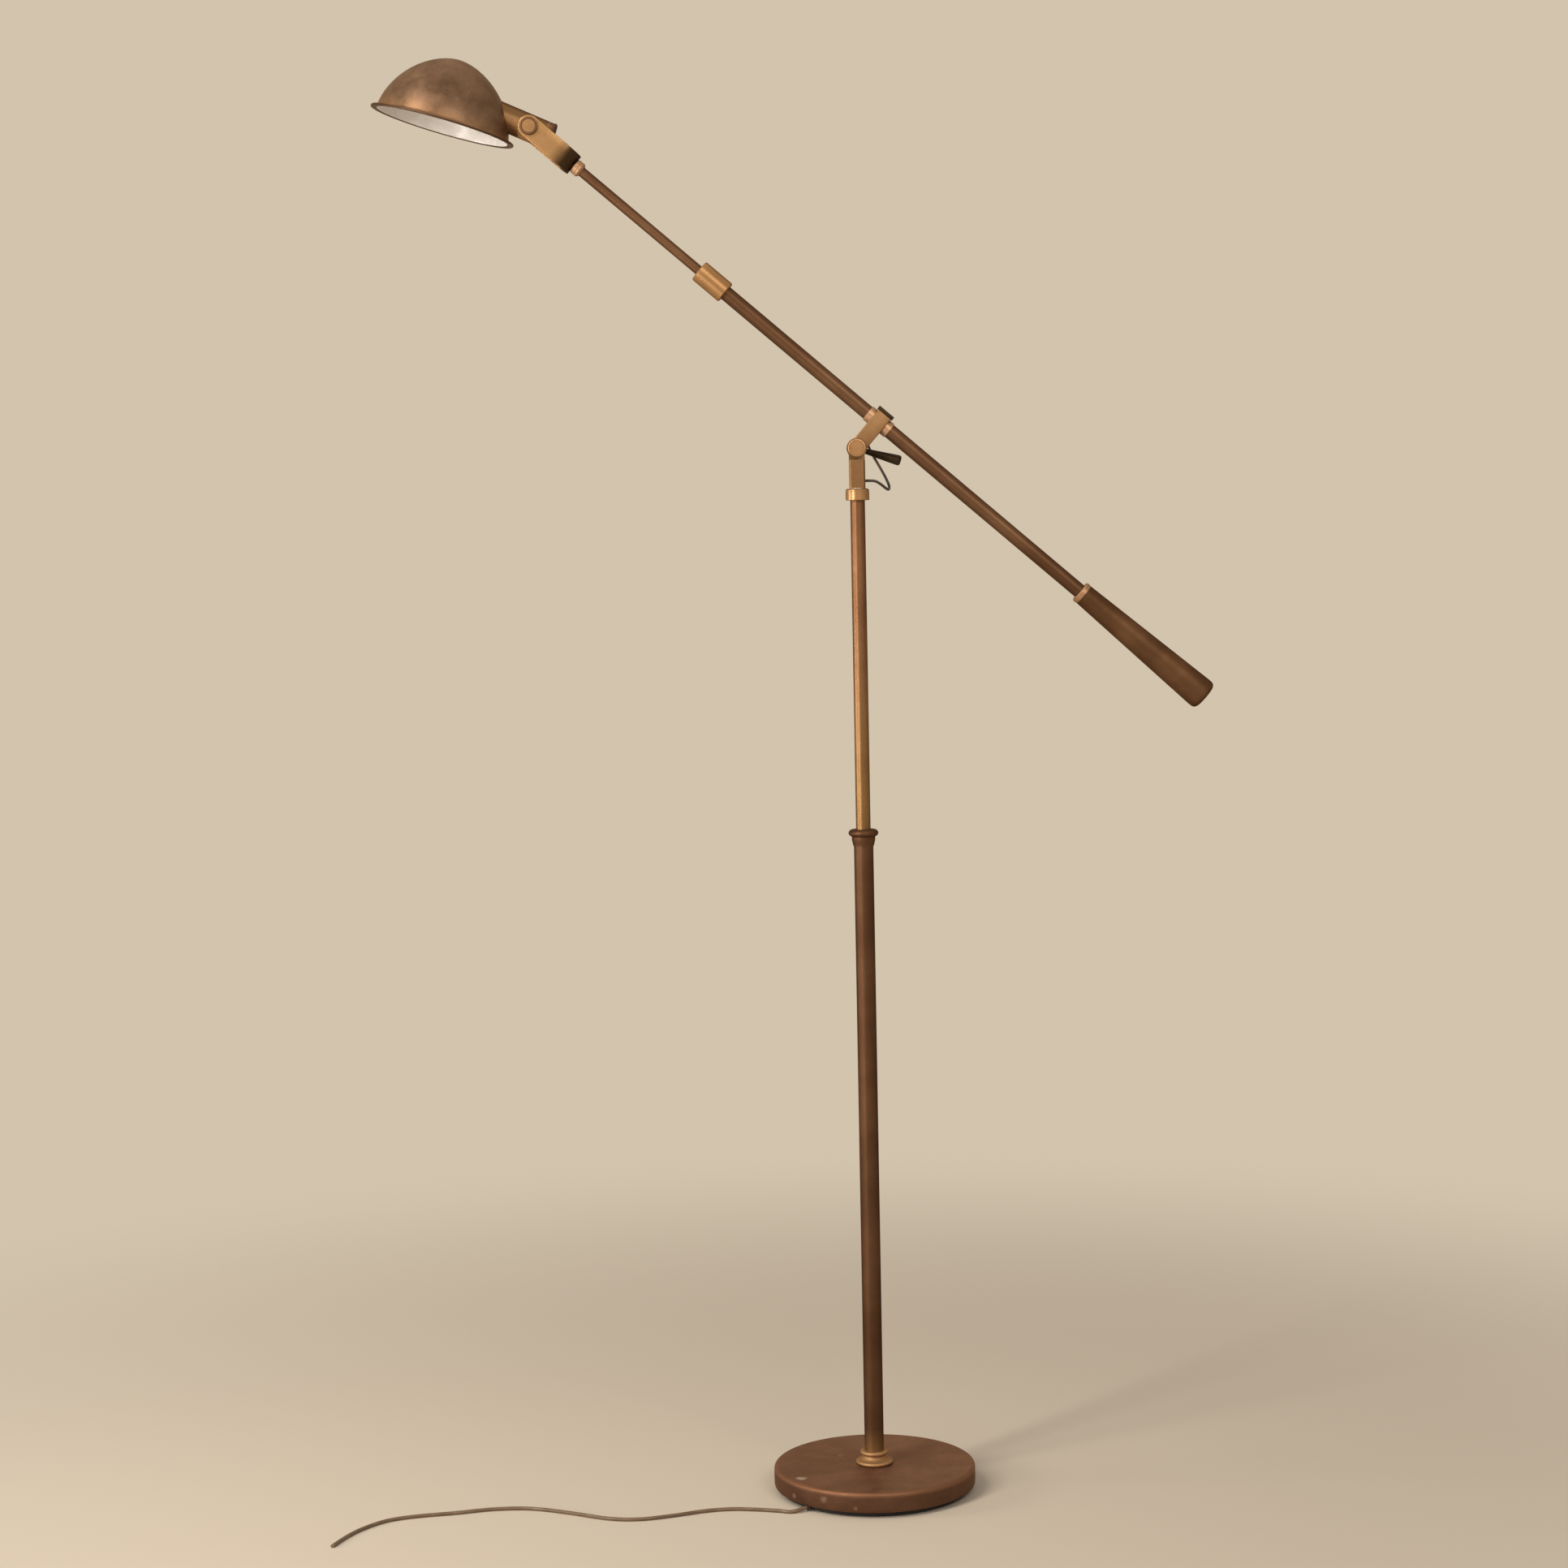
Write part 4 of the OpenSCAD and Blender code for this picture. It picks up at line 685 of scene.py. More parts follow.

# %% [markdown]
# ## The base
#
# The base is a spun cover over an iron disc. Its edge is a quarter round that hands and vacuum
# cleaners have rubbed to copper, and the top carries a few pale scuffs near the front. The cover
# could be a cylinder with a bevel, but the lathe gives its wall, its turned-in lower lip and the
# faint crown of its top in one outline. The finish adds the copper ring by the distance from the
# middle, darkens the upright side as painted shade, and sets each scuff by the distance from a
# point.

# %% Spun bronze
def spun_bronze(name, tones, scales, cloudy, rough, bump, metallic, tint, **where):
    """The bronze of the cover and the dome, with its noises' scales from broad to fine."""
    finish, tree, shader = new_finish(name)
    place = coordinates(tree, **where)
    drift = noise(tree, place, scales[0], 5.0, 0.65)
    cloud = noise(tree, place, scales[1], 4.0, cloudy)
    speck = noise(tree, place, scales[2], 3.0, 0.7)
    colour = three_tones(tree, drift, tones)
    colour = shaded(tree, 0.45, colour, cloud, (0.35, 0.72), (0.65, 1.25))
    colour = shaded(tree, 0.5, colour, speck, (0.3, 0.7), (0.7, 1.25))
    height = arithmetic(tree, "ADD", cloud, arithmetic(tree, "MULTIPLY", speck, 0.3))
    surface(tree, shader, colour, cloud, rough, height, bump, metallic, tint, 0.35)
    return finish, tree, shader, place, cloud, colour


print("spun bronze ready")

# %% Base cover
cover_outline = (
    [(131.4, 9.4), (131.4, 29.0)] + arc(128, 29, 3.4, 0, 90)[1:]
    + [(60, 32.4), (nipple_bore, 32.4), (nipple_bore, 33.9), (22, 33.9), (60, 34.0), (110, 34.0)]
    + arc(128, 29, 5, 90, 0, 8) + [(133, 12.0)]
    + [(132.6, 9.2), (132.2, 8.2), (131.6, 8.4), (131.4, 9.4)])
base_cover = turned("base_cover", cover_outline, steps=160)

cover_metal, tree, shader, place, cloud, colour = spun_bronze(
    "cover_bronze", ((0.155, 0.074, 0.042), (0.188, 0.092, 0.053), (0.225, 0.116, 0.068)),
    (11.0, 38.0, 480.0), 0.6, (0.42, 0.62), (0.1, 0.6 * MM), 0.7, (0.75, 0.6, 0.5))
flat = add(tree, "ShaderNodeVectorMath", place, (1, 1, 0), operation="MULTIPLY").outputs[0]
away = add(tree, "ShaderNodeVectorMath", flat, operation="LENGTH").outputs["Value"]
level = part_of(tree, place, "Z")
ring = arithmetic(tree, "MULTIPLY", remap(tree, away, 0.1275, 0.1305),
                  remap(tree, level, 0.0285, 0.031))
ring = arithmetic(tree, "MULTIPLY", ring, remap(tree, cloud, 0.3, 0.6, 0.45, 1.0), clamp=True)
colour = mixed(tree, ring, colour, (0.205, 0.098, 0.052))
# Painted shade: the upright side of the cover is darkened, at a little over half strength.
side = arithmetic(tree, "MULTIPLY", remap(tree, away, 0.1318, 0.1326),
                  remap(tree, level, 0.0295, 0.0265))
colour = mixed(tree, arithmetic(tree, "MULTIPLY", side, 0.55), colour, (0.062, 0.031, 0.018))
print("cover outline", len(cover_outline), "points")


# %% Scuffs on the cover
def spot(tree, vector, centre, size, wobble):
    """White within about size of a point, with an edge that a noise makes ragged."""
    gap = add(tree, "ShaderNodeVectorMath", vector, centre, operation="DISTANCE").outputs["Value"]
    ragged = arithmetic(tree, "ADD", gap, arithmetic(tree, "MULTIPLY", wobble, size * 1.6))
    return remap(tree, ragged, size * 1.9, size * 1.2)


scuffs = [((-0.0975, -0.0625, 0.034), 0.0078, (0.46, 0.35, 0.28)),
          ((-0.0690, -0.1130, 0.0210), 0.0055, (0.21, 0.128, 0.090)),
          ((-0.1070, -0.0785, 0.0160), 0.0040, (0.24, 0.155, 0.112)),
          ((-0.0450, 0.0330, 0.034), 0.0040, (0.26, 0.145, 0.080)),
          ((-0.0285, -0.1285, 0.0140), 0.0032, (0.22, 0.130, 0.085))]
wobble = noise(tree, place, 170.0, 4.0, 0.7)
for centre, size, tone in scuffs:
    colour = mixed(tree, spot(tree, place, centre, size, wobble), colour, tone)
feed(tree, shader.inputs["Base Color"], colour)
finish_piece(base_cover, "base", ["base_shell"], "base_bronze", cover_metal)

# %% [markdown]
# The spool at the column's foot is solid brass: a rounded foot ring, a hollow neck and a bead
# around the top. It is the same lathe work with tighter curves.

# %% Foot spool
spool_outline = (
    [(nipple_bore, 34.0), (22.0, 34.0)] + arc(22.0, 36.5, 2.5, -90, 90, 8)[1:]
    + [(19.8, 39.2), (17.6, 40.2), (15.8, 41.6), (14.7, 43.6), (14.4, 45.6)]
    + arc(15.9, 49.1, 2.9, -120, 90, 10)
    + [(wide_bore, 52.0), (wide_bore, 36.0), (nipple_bore, 36.0), (nipple_bore, 34.0)])
turned_piece("foot_spool", spool_outline, 72, "base", ["base_collar"], "aged_brass", spool_brass)

# %% [markdown]
# The lower tube ends in a cap with a thick round bead, through which the upper tube slides. Its
# neck tapers down to the tube. The cap was browned with the tube, and only the bead is rubbed.

# %% Column cap
cap_outline = (
    [(wide_bore, 855.6), (13.6, 855.6), (13.9, 857.5), (14.9, 861.5), (15.3, 863.2), (15.3, 867.2),
     (16.0, 867.9)] + arc(15.4, 872.3, 4.1, -60, 62, 10) + [(16.8, 876.6), (15.2, 877.0),
     (10.6, 877.0), (9.75, 876.3), (9.75, 870.02), (wide_bore, 870.02), (wide_bore, 855.6)])
turned_piece("sliding_cap", cap_outline, 72, "base", ["column_cap"], "tube_bronze", tube_metal)

# %% [markdown]
# The ring under the knuckle is a short brass drum. Its edges are eased, and a fine line turned
# near the top catches the light.

# %% Swivel ring
ring_outline = [(thin_bore, 1304.1), (14.6, 1304.1), (15.3, 1304.9), (15.3, 1314.6),
                (15.05, 1314.9), (15.05, 1315.5), (15.3, 1315.8), (15.3, 1317.1), (13.4, 1319.15),
                (5.06, 1319.15), (5.06, 1313.2), (thin_bore, 1313.2), (thin_bore, 1304.1)]
turned_piece("swivel_ring_turned", ring_outline, 72, "upper_column", ["swivel_ring"],
             "aged_brass", turned_brass)

# %% [markdown]
# ## The knuckle
#
# The post is a square bar with wide chamfers, milled down to a tongue that the clamp's fork
# straddles. A cube is sized to the bar and its upright edges are bevelled; a thinner block and a
# round boss are then joined on as the tongue. Holes are cut with a Boolean, as a drill would.


# %% Milling helpers
def block(name, low, high):
    """A cube primitive brought to a box, given by two corners in millimetres."""
    start_fresh()
    bpy.ops.mesh.primitive_cube_add(size=1)
    piece = bpy.context.object
    piece.name = name
    piece.scale = [(h - l) * MM for l, h in zip(low, high)]
    piece.location = [(h + l) / 2 * MM for l, h in zip(low, high)]
    bpy.ops.object.transform_apply(location=True, rotation=True, scale=True)
    return piece


def slab(name, outline, low, high):
    """An outline of (x, z) in millimetres, filled and extruded along Y from low to high."""
    piece = drawn(name, outline, low)
    bpy.ops.mesh.edge_face_add()
    bpy.ops.mesh.select_all(action="SELECT")
    bpy.ops.mesh.extrude_region_move(TRANSFORM_OT_translate={"value": (0, (high - low) * MM, 0)})
    bpy.ops.mesh.select_all(action="SELECT")
    bpy.ops.mesh.normals_make_consistent(inside=False)
    bpy.ops.object.mode_set(mode="OBJECT")
    return piece


def bevel_edges(piece, chosen, width, segments=1):
    """Bevels the edges for which chosen(a, b) holds, given their ends in millimetres."""
    make_active(piece)
    bpy.ops.object.mode_set(mode="EDIT")
    bpy.ops.mesh.select_mode(type="EDGE")
    bpy.ops.mesh.select_all(action="DESELECT")
    bpy.ops.object.mode_set(mode="OBJECT")
    points = piece.data.vertices
    for edge in piece.data.edges:
        a, b = (points[v].co / MM for v in edge.vertices)
        edge.select = chosen(a, b)
    bpy.ops.object.mode_set(mode="EDIT")
    bpy.ops.mesh.bevel(offset=width * MM, segments=segments, affect="EDGES")
    bpy.ops.object.mode_set(mode="OBJECT")


def rod_tool(radius, length, matrix, steps=48):
    """A round cutting tool or pin along Z, centred, then laid by a matrix."""
    start_fresh()
    bpy.ops.mesh.primitive_cylinder_add(vertices=steps, radius=radius * MM, depth=length * MM)
    tool = bpy.context.object
    lay(tool, matrix)
    return tool


def combine(piece, tool, how):
    """Joins or cuts a piece with a tool, and throws the tool away."""
    apply_modifier(piece, "BOOLEAN", object=tool, operation=how, solver="EXACT")
    bpy.data.objects.remove(tool)


def drill(piece, radius, length, matrix, steps=48):
    combine(piece, rod_tool(radius, length, matrix, steps), "DIFFERENCE")


def at(x, y, z, turn=None):
    place = Matrix.Translation((x * MM, y * MM, z * MM))
    return place if turn is None else place @ turn


print("milling tools ready")

# %% Knuckle post
post = block("knuckle_post", (-10.3, -10, 1319.9), (10.3, 10, 1355.7))
bevel_edges(post, lambda a, b: abs(a.z - b.z) > 10, 2.2)
tongue = block("tongue", (-10.3, -4, 1350), (10.3, 4, pivot_mm))
combine(post, tongue, "UNION")
combine(post, rod_tool(13, 8, at(0, 0, pivot_mm, upright_to_y), 72), "UNION")
broken_edges(post, 0.5)
drill(post, bolt_bore, 30, at(0, 0, pivot_mm, upright_to_y))
drill(post, 2.2, 20, at(10.3, 0, 1329, upright_to_x))
stem = rod_tool(5, 13.2, at(0, 0, 1313.5))
combine(post, stem, "UNION")
finish_piece(post, "knuckle", ["pivot_post"], "aged_brass", post_brass)

# %% [markdown]
# The clamp arm is a stout bar that is rounded where it turns on the post and forked there. It is
# made in the boom's own frame, square to the axes, and laid over at the end: its side view is
# drawn point by point, filled and extruded. The fork, the bore for the boom and the lead's inlet
# are cut after the edges are eased, so they stay crisp.

# %% Clamp arm
arm = slab("clamp_bar", [(10.3, 56), (-10.3, 56)] + arc(0, 0, 10.3, 180, 360, 32), -12.3, 12.3)
broken_edges(arm, 1.3, segments=3)
slot = block("fork_slot", (-20, -4.7, -20), (20, 4.7, 13.5))
combine(arm, slot, "DIFFERENCE")
drill(arm, 10.6, 60, at(0, 0, 44, upright_to_x), 72)
drill(arm, 4, 60, at(0, 0, 0, upright_to_y))
drill(arm, 1.75, 20, at(0, 12.3, 21, upright_to_y))
lay(arm, boom_frame)
finish_piece(arm, "boom", ["clamp_arm"], "aged_brass", clamp_brass)

# %% [markdown]
# A dark plate closes the clamp above the boom, with two socket-headed grub screws in it. The
# screws are modelled once as a drum with a hexagonal socket, and copied.

# %% Plate and screws
plate = block("clamp_plate", (-12.2, -12.3, 56), (12.2, 12.3, 60.6))
broken_edges(plate, 0.9, segments=3)
for side in (-6, 6):
    drill(plate, 2.1, 20, at(side, 0, 58))
lay(plate, boom_frame)
finish_piece(plate, "boom", ["clamp_cap"], "dark_bronze", black_metal)

screw = rod_tool(2, 5.4, at(0, 0, 57.3), 32)
screw.name = "grub_screws"
bevel_edges(screw, lambda a, b: a.z > 59 and b.z > 59, 0.3)
drill(screw, 1, 4, at(0, 0, 60), 6)
with_copy(screw, at(-6, 0, 0), at(6, 0, 0))
lay(screw, boom_frame)
finish_piece(screw, "boom", ["set_screws"], "dark_bronze", black_metal)

# %% [markdown]
# The pivot bolt shows as a round cap on the lamp's face. The photograph has a rim round a
# slightly sunken disc, so the outline steps down inside the rim.

# %% Pivot bolt
bolt_outline = ([(0, -24.4), (3.6, -24.4), (4, -24.0), (4, 12.3), (11.2, 12.3), (11.6, 12.7)]
                + arc(10.4, 15.1, 1.2, 0, 90, 5)
                + [(9.4, 16.3), (9.0, 15.7), (8.6, 15.7), (8.2, 16.1), (0, 16.2)])
turned_piece("pivot_bolt_cap", bolt_outline, 72, "boom", ["pivot_bolt"], "aged_brass",
             turned_brass, boom_frame @ Matrix.Rotation(math.pi / 2, 4, "X"))

# %% [markdown]
# The tension lever is a blackened boss with a tapered grip that thickens towards its rounded
# tip. The grip is turned along its own axis, and fused to the boss.

# %% Tension lever
lever = turned("tension_lever", [(0, 12.4), (7.3, 12.4), (8, 13.1), (8, 26.4), (7.0, 27.4),
                                 (2.4, 27.6), (0, 27.6)], steps=64)
lay(lever, upright_to_y)
grip = turned("grip", [(0, 0), (3.2, 0), (3.3, 8)] + [(3.3, 9)] + [(6.5, 52.0), (6.7, 55.5)]
              + arc(3.4, 56.6, 3.4, 15, 90, 6) + [(0, 60.0)], steps=48)
lay(grip, at(0, 20.9, 0, upright_to_x))
combine(lever, grip, "UNION")
drill(lever, bolt_bore, 12.5, at(0, 18.2, 0, upright_to_y))
lay(lever, at(0, 0, pivot_mm, Matrix.Rotation(math.radians(16.5), 4, "Y")))
finish_piece(lever, "lever", ["lever_handle"], "dark_bronze", black_metal)

# %% [markdown]
# ## Along the boom
#
# The collar at the boom's upper end, the ferrule of the rod and the counterweight are turned
# too. The counterweight is a long taper with a neck ring and a rounded end. It stands for two
# CAD nodes, the shell and the cap in its end, because nothing shows where they meet.

# %% Collar and ferrule
collar_outline = [(thin_bore, 0.02), (thin_bore, 24.0), (6.6, 24.0), (6.6, 44), (13.2, 44),
                  (14.5, 42.8), (14.5, 1.3), (13.4, 0.02), (thin_bore, 0.02)]
turned_piece("boom_collar_turned", collar_outline, 80, "boom", ["boom_collar"], "bright_brass",
             boom_brass, axis_frame @ at(-257, 0, 0) @ Matrix.Rotation(-math.pi / 2, 4, "Y"))

ferrule_outline = [(3.66, 0), (8.3, 0), (9.75, 1.4), (9.75, 5.6), (9.2, 6.1), (9.2, 6.7),
                   (9.75, 7.2), (9.75, 9.4), (7.4, 12.0), (6.37, 12.0), (6.37, 5), (3.66, 5),
                   (3.66, 0)]
turned_piece("rod_ferrule_turned", ferrule_outline, 64, "rod", ["rod_ferrule"], "bright_brass",
             sleeve_brass, axis_frame @ at(-509, 0, 0, upright_to_x))


# %% Counterweight
def weight_radius(s):
    """Radius of the counterweight at a distance behind its neck, in millimetres."""
    return 14 + 6.8 * s / 213


weight_outline = ([(thin_bore, 6.5), (weight_radius(6.5), 6.5)]
                  + [(weight_radius(s), s) for s in (7, 40, 80, 120, 160, 190, 203)]
                  + arc(14.3, 207, 6, 8, 90, 8)
                  + [(8, 213.0), (0, 213.0), (0, 100), (thin_bore, 100), (thin_bore, 6.5)])
weight_place = axis_frame @ at(340.5, 0, 0, upright_to_x)
turned_piece("weight_handle", weight_outline, 96, "boom", ["counterweight", "weight_cap"],
             "tube_bronze", weight_metal, weight_place)

neck_outline = [(thin_bore, 0.0), (13.5, 0.0), (14.6, 1.0), (14.6, 5.2), (14.25, 5.6),
                (14.25, 6.45), (thin_bore, 6.45), (thin_bore, 0.0)]
turned_piece("weight_neck_ring", neck_outline, 80, "boom", ["weight_ring"], "aged_brass",
             sleeve_brass, weight_place)

# %% [markdown]
# ## The yoke
#
# The head hangs in a strap that is bent to a U. The strap is drawn from above as one closed
# outline: an outer half circle, an inner one, and straight cheeks between them. It is filled,
# extruded to the strap's width and turned up on its edge. An Intersect with a round-ended block
# then cuts the free ends round.

# %% Yoke
half_gap, strap, strap_w = 18.6, 3.5, 28.0
outer_gap = half_gap + strap
bend_at = -509.3 - outer_gap
head_mm = head_x / MM
cheek_end = head_mm - strap_w / 2 - 1
strap_outline = ([(cheek_end, -outer_gap)] + arc(bend_at, 0, outer_gap, -90, 90, 40)
                 + [(cheek_end, outer_gap), (cheek_end, half_gap)]
                 + arc(bend_at, 0, half_gap, 90, -90, 36) + [(cheek_end, -half_gap)])
yoke = slab("head_yoke", strap_outline, -strap_w / 2, strap_w / 2)
lay(yoke, Matrix.Rotation(math.pi / 2, 4, "X"))
round_end = rod_tool(strap_w / 2, 80, at(head_mm, 0, 0, upright_to_y), 96)
combine(round_end, block("strap_middle", (head_mm, -40, -20), (-500, 40, 20)), "UNION")
combine(yoke, round_end, "INTERSECT")
print("yoke", [round(v / MM, 1) for v in yoke.dimensions])

# %% [markdown]
# The strap's edges are eased, and a short hollow stem at its closed end goes into the ferrule,
# so the whole head can swivel on the rod. The disc-headed screws pass through the cheeks.

# %% Yoke edges, stem and holes
broken_edges(yoke, 0.7, segments=3, angle=40)
combine(yoke, rod_tool(3.6, 9.0, at(-506.6, 0, 0, upright_to_x)), "UNION")
drill(yoke, 2, 40, at(-505, 0, 0, upright_to_x))
drill(yoke, bolt_bore, 80, at(head_mm, 0, 0, upright_to_y))
lay(yoke, axis_frame)
finish_piece(yoke, "yoke", ["yoke"], "bright_brass", yoke_brass)

# %% [markdown]
# ## The head
#
# A short brass housing holds the lamp holder. It passes through the dome's side and tilts
# between two screws with round disc heads, which the photograph shows as a dark-rimmed circle.

# %% Housing and its cap
nose = -54.9
housing_outline = [(16, nose), (16, 27), (17.2, 27), (17.5, 26.6), (17.5, 22.4), (17.1, 22.0),
                   (17.1, 21.2), (17.5, 20.8), (17.5, nose + 0.5), (17.1, nose), (16, nose)]
housing = turned("lamp_housing", housing_outline, steps=96)
lay(housing, upright_to_x)
for side in (-1, 1):
    combine(housing, rod_tool(9, 2.6, at(0, side * 16.4, 0, upright_to_y)), "UNION")
drill(housing, 4, 80, at(0, 0, 0, upright_to_y))
drill(housing, 2.05, 20, at(-22.5, 17.5, 0, upright_to_y))
lay(housing, head_frame)
finish_piece(housing, "head", ["housing"], "bright_brass", housing_brass)

rear_outline = [(2.5, 24), (16, 24), (16, 27.02), (17.6, 27.02), (18, 27.4), (18, 29.8),
                (16.6, 31), (3.2, 31), (2.5, 30.4), (2.5, 24)]
turned_piece("housing_rear_cap", rear_outline, 96, "head", ["housing_cap"], "bright_brass",
             boom_metal, head_frame @ upright_to_x)

# %% Tilt screws
disc_outline = ([(0, 12), (3.6, 12), (4, 12.4), (4, 22.2), (11.0, 22.2), (11.4, 22.6)]
                + arc(10.4, 24.8, 1.0, 0, 90, 5)
                + [(9.2, 25.8), (8.9, 25.2), (8.5, 25.2), (8.2, 25.7), (0, 25.8)])
disc = turned("tilt_screws", disc_outline, steps=72)
disc.data.materials.append(turned_brass)
disc.data.materials.append(boom_metal)
for face in disc.data.polygons:
    face.material_index = int(face.center.xy.length > 8.45 * MM)
with_copy(disc, upright_to_y, Matrix.Rotation(math.pi, 4, "X") @ upright_to_y)
lay(disc, head_frame)
finish_piece(disc, "head", ["head_trunnions"], "aged_brass")

# %% [markdown]
# ## The dome
#
# The shade is spun from sheet: a deep dome, a small cove, a flat brim and an edge rolled over a
# wire. Outside it is the darkest bronze, inside it is white enamel. The outline runs up the
# outside and back down the inside, so the lathe makes both skins, and the faces that look
# inwards then take the second finish.

# %% Dome outline
dome_r, dome_h, dome_power, wall = 86.5, 87.5, 1.78, 1.2
rim_r, roll_r, rim_drop = 94.0, 1.7, 28.5


def dome_point(angle, off=0.0):
    a = math.radians(angle)
    return ((dome_r - off) * math.cos(a) ** (2 / dome_power),
            (dome_h - off) * math.sin(a) ** (2 / dome_power))


dome_steps = (90, 87, 84, 80, 75, 70, 64, 58, 52, 46, 40, 34, 28, 22, 17, 13, 9.5)
outside = [dome_point(a) for a in dome_steps]
cove = [(dome_r - 0.1, 6.4), (dome_r + 0.5, 4.4), (dome_r + 1.6, 2.9), (dome_r + 3.0, 2.2)]
roll = arc(rim_r - roll_r, roll_r, roll_r, 120, -90, 14)
inside_rim = [(rim_r - 3.4, 0.5), (dome_r + 1.0, 0.45), (dome_r - 0.4, 0.9),
              (dome_r - wall - 0.1, 2.4)]
inside = [dome_point(a, wall) for a in reversed(dome_steps)]
dome = turned("reading_dome", outside + cove + roll + inside_rim + inside, steps=144)
print("dome", [round(v / MM, 1) for v in dome.dimensions])

# %% Dome finish
dome_metal, tree, shader, place, cloud, colour = spun_bronze(
    "dome_bronze", ((0.128, 0.073, 0.042), (0.186, 0.110, 0.066), (0.250, 0.154, 0.096)),
    (13.0, 60.0, 520.0), 0.65, (0.36, 0.55), (0.08, 0.5 * MM), 0.75, (0.7, 0.6, 0.5),
    turned=(0, -shade_turn, 0), centre=tuple(shade_frame.translation))
height = arithmetic(tree, "ADD", part_of(tree, place, "Z"), rim_drop * MM)
# Painted highlight: the lowest 19 mm of the dome's outside turn a lighter gold, fully so below 6 mm,
# broken up by the cloud noise.
painted_highlight_band = arithmetic(tree, "MULTIPLY", remap(tree, height, 0.019, 0.006),
                  remap(tree, cloud, 0.3, 0.6, 0.25, 0.8), clamp=True)
colour = mixed(tree, painted_highlight_band, colour, (0.33, 0.185, 0.096))
# Painted shade: the rolled edge, below 2.2 mm above the rim, is darkened to a near-black brown at
# 0.8 strength.
painted_roll_shade = arithmetic(tree, "MULTIPLY", remap(tree, height, 0.0030, 0.0022), 0.8)
feed(tree, shader.inputs["Base Color"], mixed(tree, painted_roll_shade, colour, (0.050, 0.026, 0.016)))
print("dome finish", len(tree.nodes), "nodes")

# %% Enamel finish
enamel, tree, shader = new_finish("white_enamel")
place = coordinates(tree)
waves = noise(tree, place, 45.0, 3.0)
dust = noise(tree, place, 600.0, 3.0, 0.7)
colour = ramp(tree, waves, (0.3, (0.66, 0.63, 0.60)), (0.7, (0.75, 0.725, 0.70)))
colour = shaded(tree, 0.2, colour, dust, (0.25, 0.8), (0.5, 1.0))
surface(tree, shader, colour, waves, (0.22, 0.34), waves, (0.08, 0.5 * MM))
print("enamel ready")

# %% Dome in place
dome.data.materials.append(dome_metal)
dome.data.materials.append(enamel)
for face in dome.data.polygons:
    x, y, z = face.center / MM
    out = math.hypot(x, y)
    curve = ((out / (dome_r - wall / 2)) ** dome_power
             + (max(z, 0) / (dome_h - wall / 2)) ** dome_power)
    face.material_index = int(out < dome_r - 0.2 and curve < 1.0)
dome_side = dome_r * (1 - (rim_drop / dome_h) ** dome_power) ** (1 / dome_power)
dome_reach = dome_side + 29.5
lay(dome, shade_frame @ at(-dome_reach, 0, -rim_drop))
drill(dome, 17.52, 60, head_frame @ at(-60, 0, 0, upright_to_x), 96)
finish_piece(dome, "head", ["shade"], "base_bronze", smooth=40)
print("enamel faces", sum(f.material_index for f in dome.data.polygons))

# %% [markdown]
# ## Bulb and switch
#
# Under the dome sits a small round bulb with a pearl glass. The switch is a little turn key
# behind the housing. The photograph can't show it, and such heads nearly always have it there.

# %% Bulb glass
neck_r, ball_z = 12.2, 26.1
ball = arc(0, ball_z, 22, -50, 90, 20)
bulb_outline = [(neck_r - 0.9, 0), (neck_r, 0), (neck_r, 2.0), (neck_r + 0.4, 6.0)] + ball
bulb = turned("pearl_bulb", bulb_outline, steps=64)
lay(bulb, head_frame @ at(-44.5, 0, 0, Matrix.Rotation(-math.pi / 2, 4, "Y")))
pearl, tree, shader = new_finish("pearl_glass")
clouds = noise(tree, coordinates(tree), 120.0, 3.0)
for name, value in (("Base Color", ramp(tree, clouds, (0.3, (0.84, 0.83, 0.79)),
                                        (0.7, (0.92, 0.91, 0.88)))),
                    ("Roughness", remap(tree, clouds, 0.3, 0.7, 0.18, 0.3)),
                    ("Subsurface Weight", 0.3), ("Subsurface Radius", (4 * MM, 4 * MM, 4 * MM)),
                    ("Coat Weight", 0.4)):
    feed(tree, shader.inputs[name], value)
finish_piece(bulb, "head", ["bulb_glass"], "bulb_glass", pearl, smooth=60)

# %% Switch key
key = turned("switch_key", [(0, 13.7), (2, 13.7), (2, 17.8), (4.6, 17.8), (5, 18.2), (5, 20.8),
                            (4.4, 21.4), (0, 21.4)], steps=48)
blade = block("blade", (-5, -1.8, 18.5), (5, 1.8, 26.8))
bevel_edges(blade, lambda a, b: a.z > 26 and b.z > 26, 1.2, 3)
combine(key, blade, "UNION")
broken_edges(key, 0.25)
lay(key, upright_to_y)
lay(key, head_frame @ at(-22.5, 0, 0))
finish_piece(key, "switch", ["switch_knob"], "dark_bronze", black_metal)

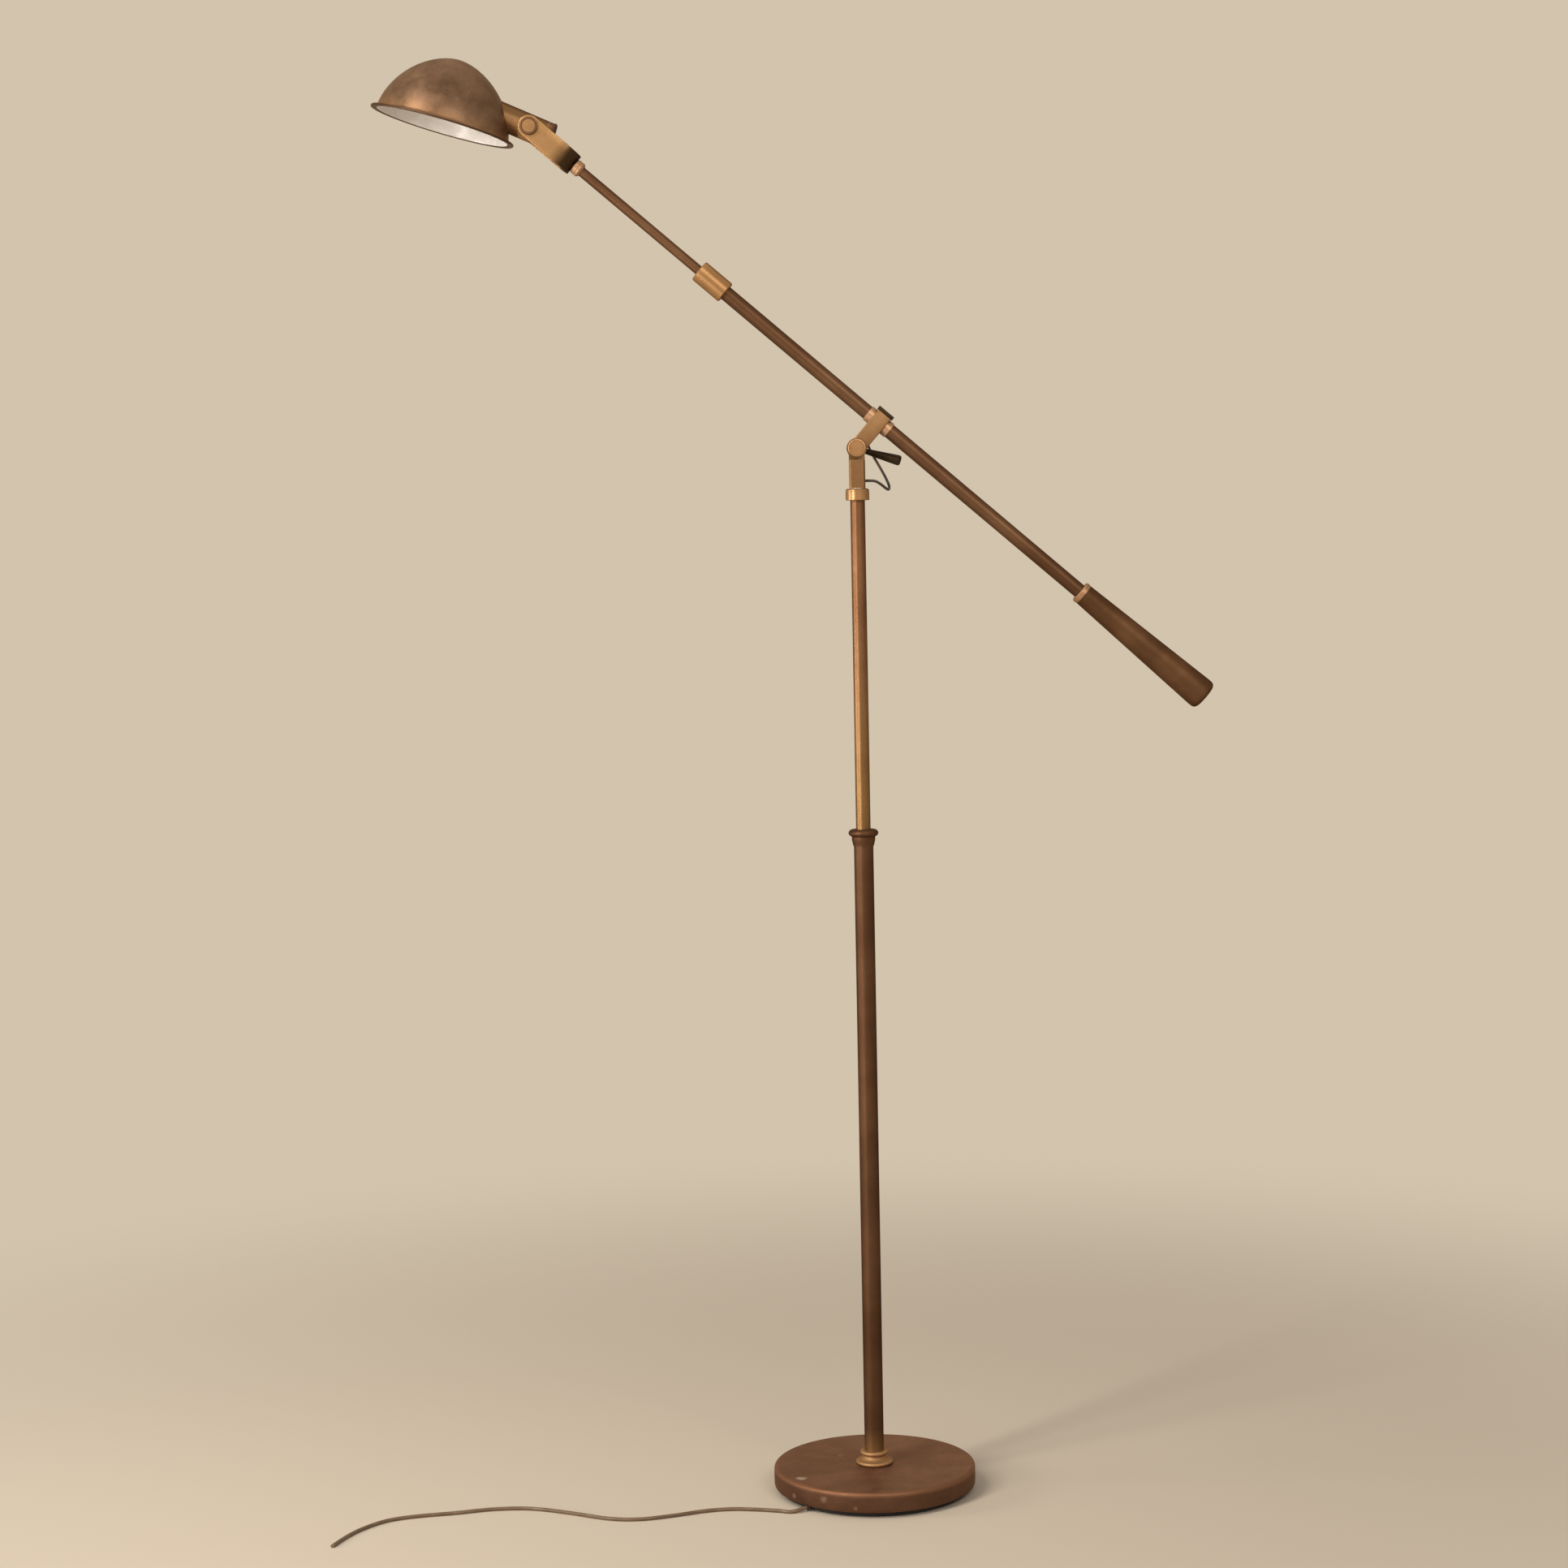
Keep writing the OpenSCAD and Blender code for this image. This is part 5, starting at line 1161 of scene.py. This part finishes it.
# %% [markdown]
# ## Finishes on the CAD nodes that stay
#
# The tubes, bushes and fixings already have the right shape, so they only take a finish. The
# upper tube is a case of its own: years of sliding have worn its lower part to yellow brass,
# so its colour changes with height.

# %% Upper tube
upper_metal, tree, shader = new_finish("upper_tube_bronze")
place = coordinates(tree)
drift = noise(tree, place, 8.0, 4.0, 0.6)
line = noise(tree, coordinates(tree, stretch=(1, 1, 0.03)), 90.0, 3.0, 0.6)
speck = noise(tree, place, 420.0, 3.0, 0.7)
brown = three_tones(tree, drift, tube_tones, 0.18)
yellow = three_tones(tree, drift, ((0.21, 0.115, 0.046), (0.28, 0.158, 0.066),
                                   (0.36, 0.212, 0.094)), 0.18)
level = arithmetic(tree, "ADD", part_of(tree, place, "Z"),
                   arithmetic(tree, "MULTIPLY", drift, 0.16))
colour = mixed(tree, remap(tree, level, 1.24, 1.02), brown, yellow)
colour = shaded(tree, 0.3, colour, line, (0.32, 0.6), (0.7, 1.3))
colour = shaded(tree, 0.4, colour, speck, (0.3, 0.7), (0.7, 1.2))
surface(tree, shader, colour, line, (0.36, 0.46), line, (0.04, 0.3 * MM), 0.85, dark_edge)
print("upper tube finish", len(tree.nodes), "nodes")

# %% Finish for each CAD node
node_finish = {
    "base_pad": felt, "base_weight": iron, "weight_core": iron, "cord_grommet": rubber,
    "base_lead": mains_lead.data.materials[0], "lower_column": tube_metal,
    "upper_column": upper_metal, "boom_tube": boom_metal, "rod": rod_metal,
    "boom_sleeve": sleeve_brass, "lampholder": porcelain, "centre_contact": turned_brass,
}
for name in ("column_plug", "threaded_nipple", "base_nut", "base_washer", "swivel_nut",
             "swivel_clip", "shade_nut", "bulb_cap"):
    node_finish[name] = zinc
for name in ("column_bush", "guide_sleeve", "swivel_washer", "pivot_washers", "boom_bush",
             "rod_guide", "head_washers"):
    node_finish[name] = nylon
for name, finish in node_finish.items():
    for slot_index in range(len(nodes[name].material_slots)):
        nodes[name].material_slots[slot_index].material = finish
shown = [n for n, o in nodes.items() if not o.hide_render]
print("CAD nodes shown:", len(shown), "without a finish:", sorted(set(shown) - set(node_finish)))
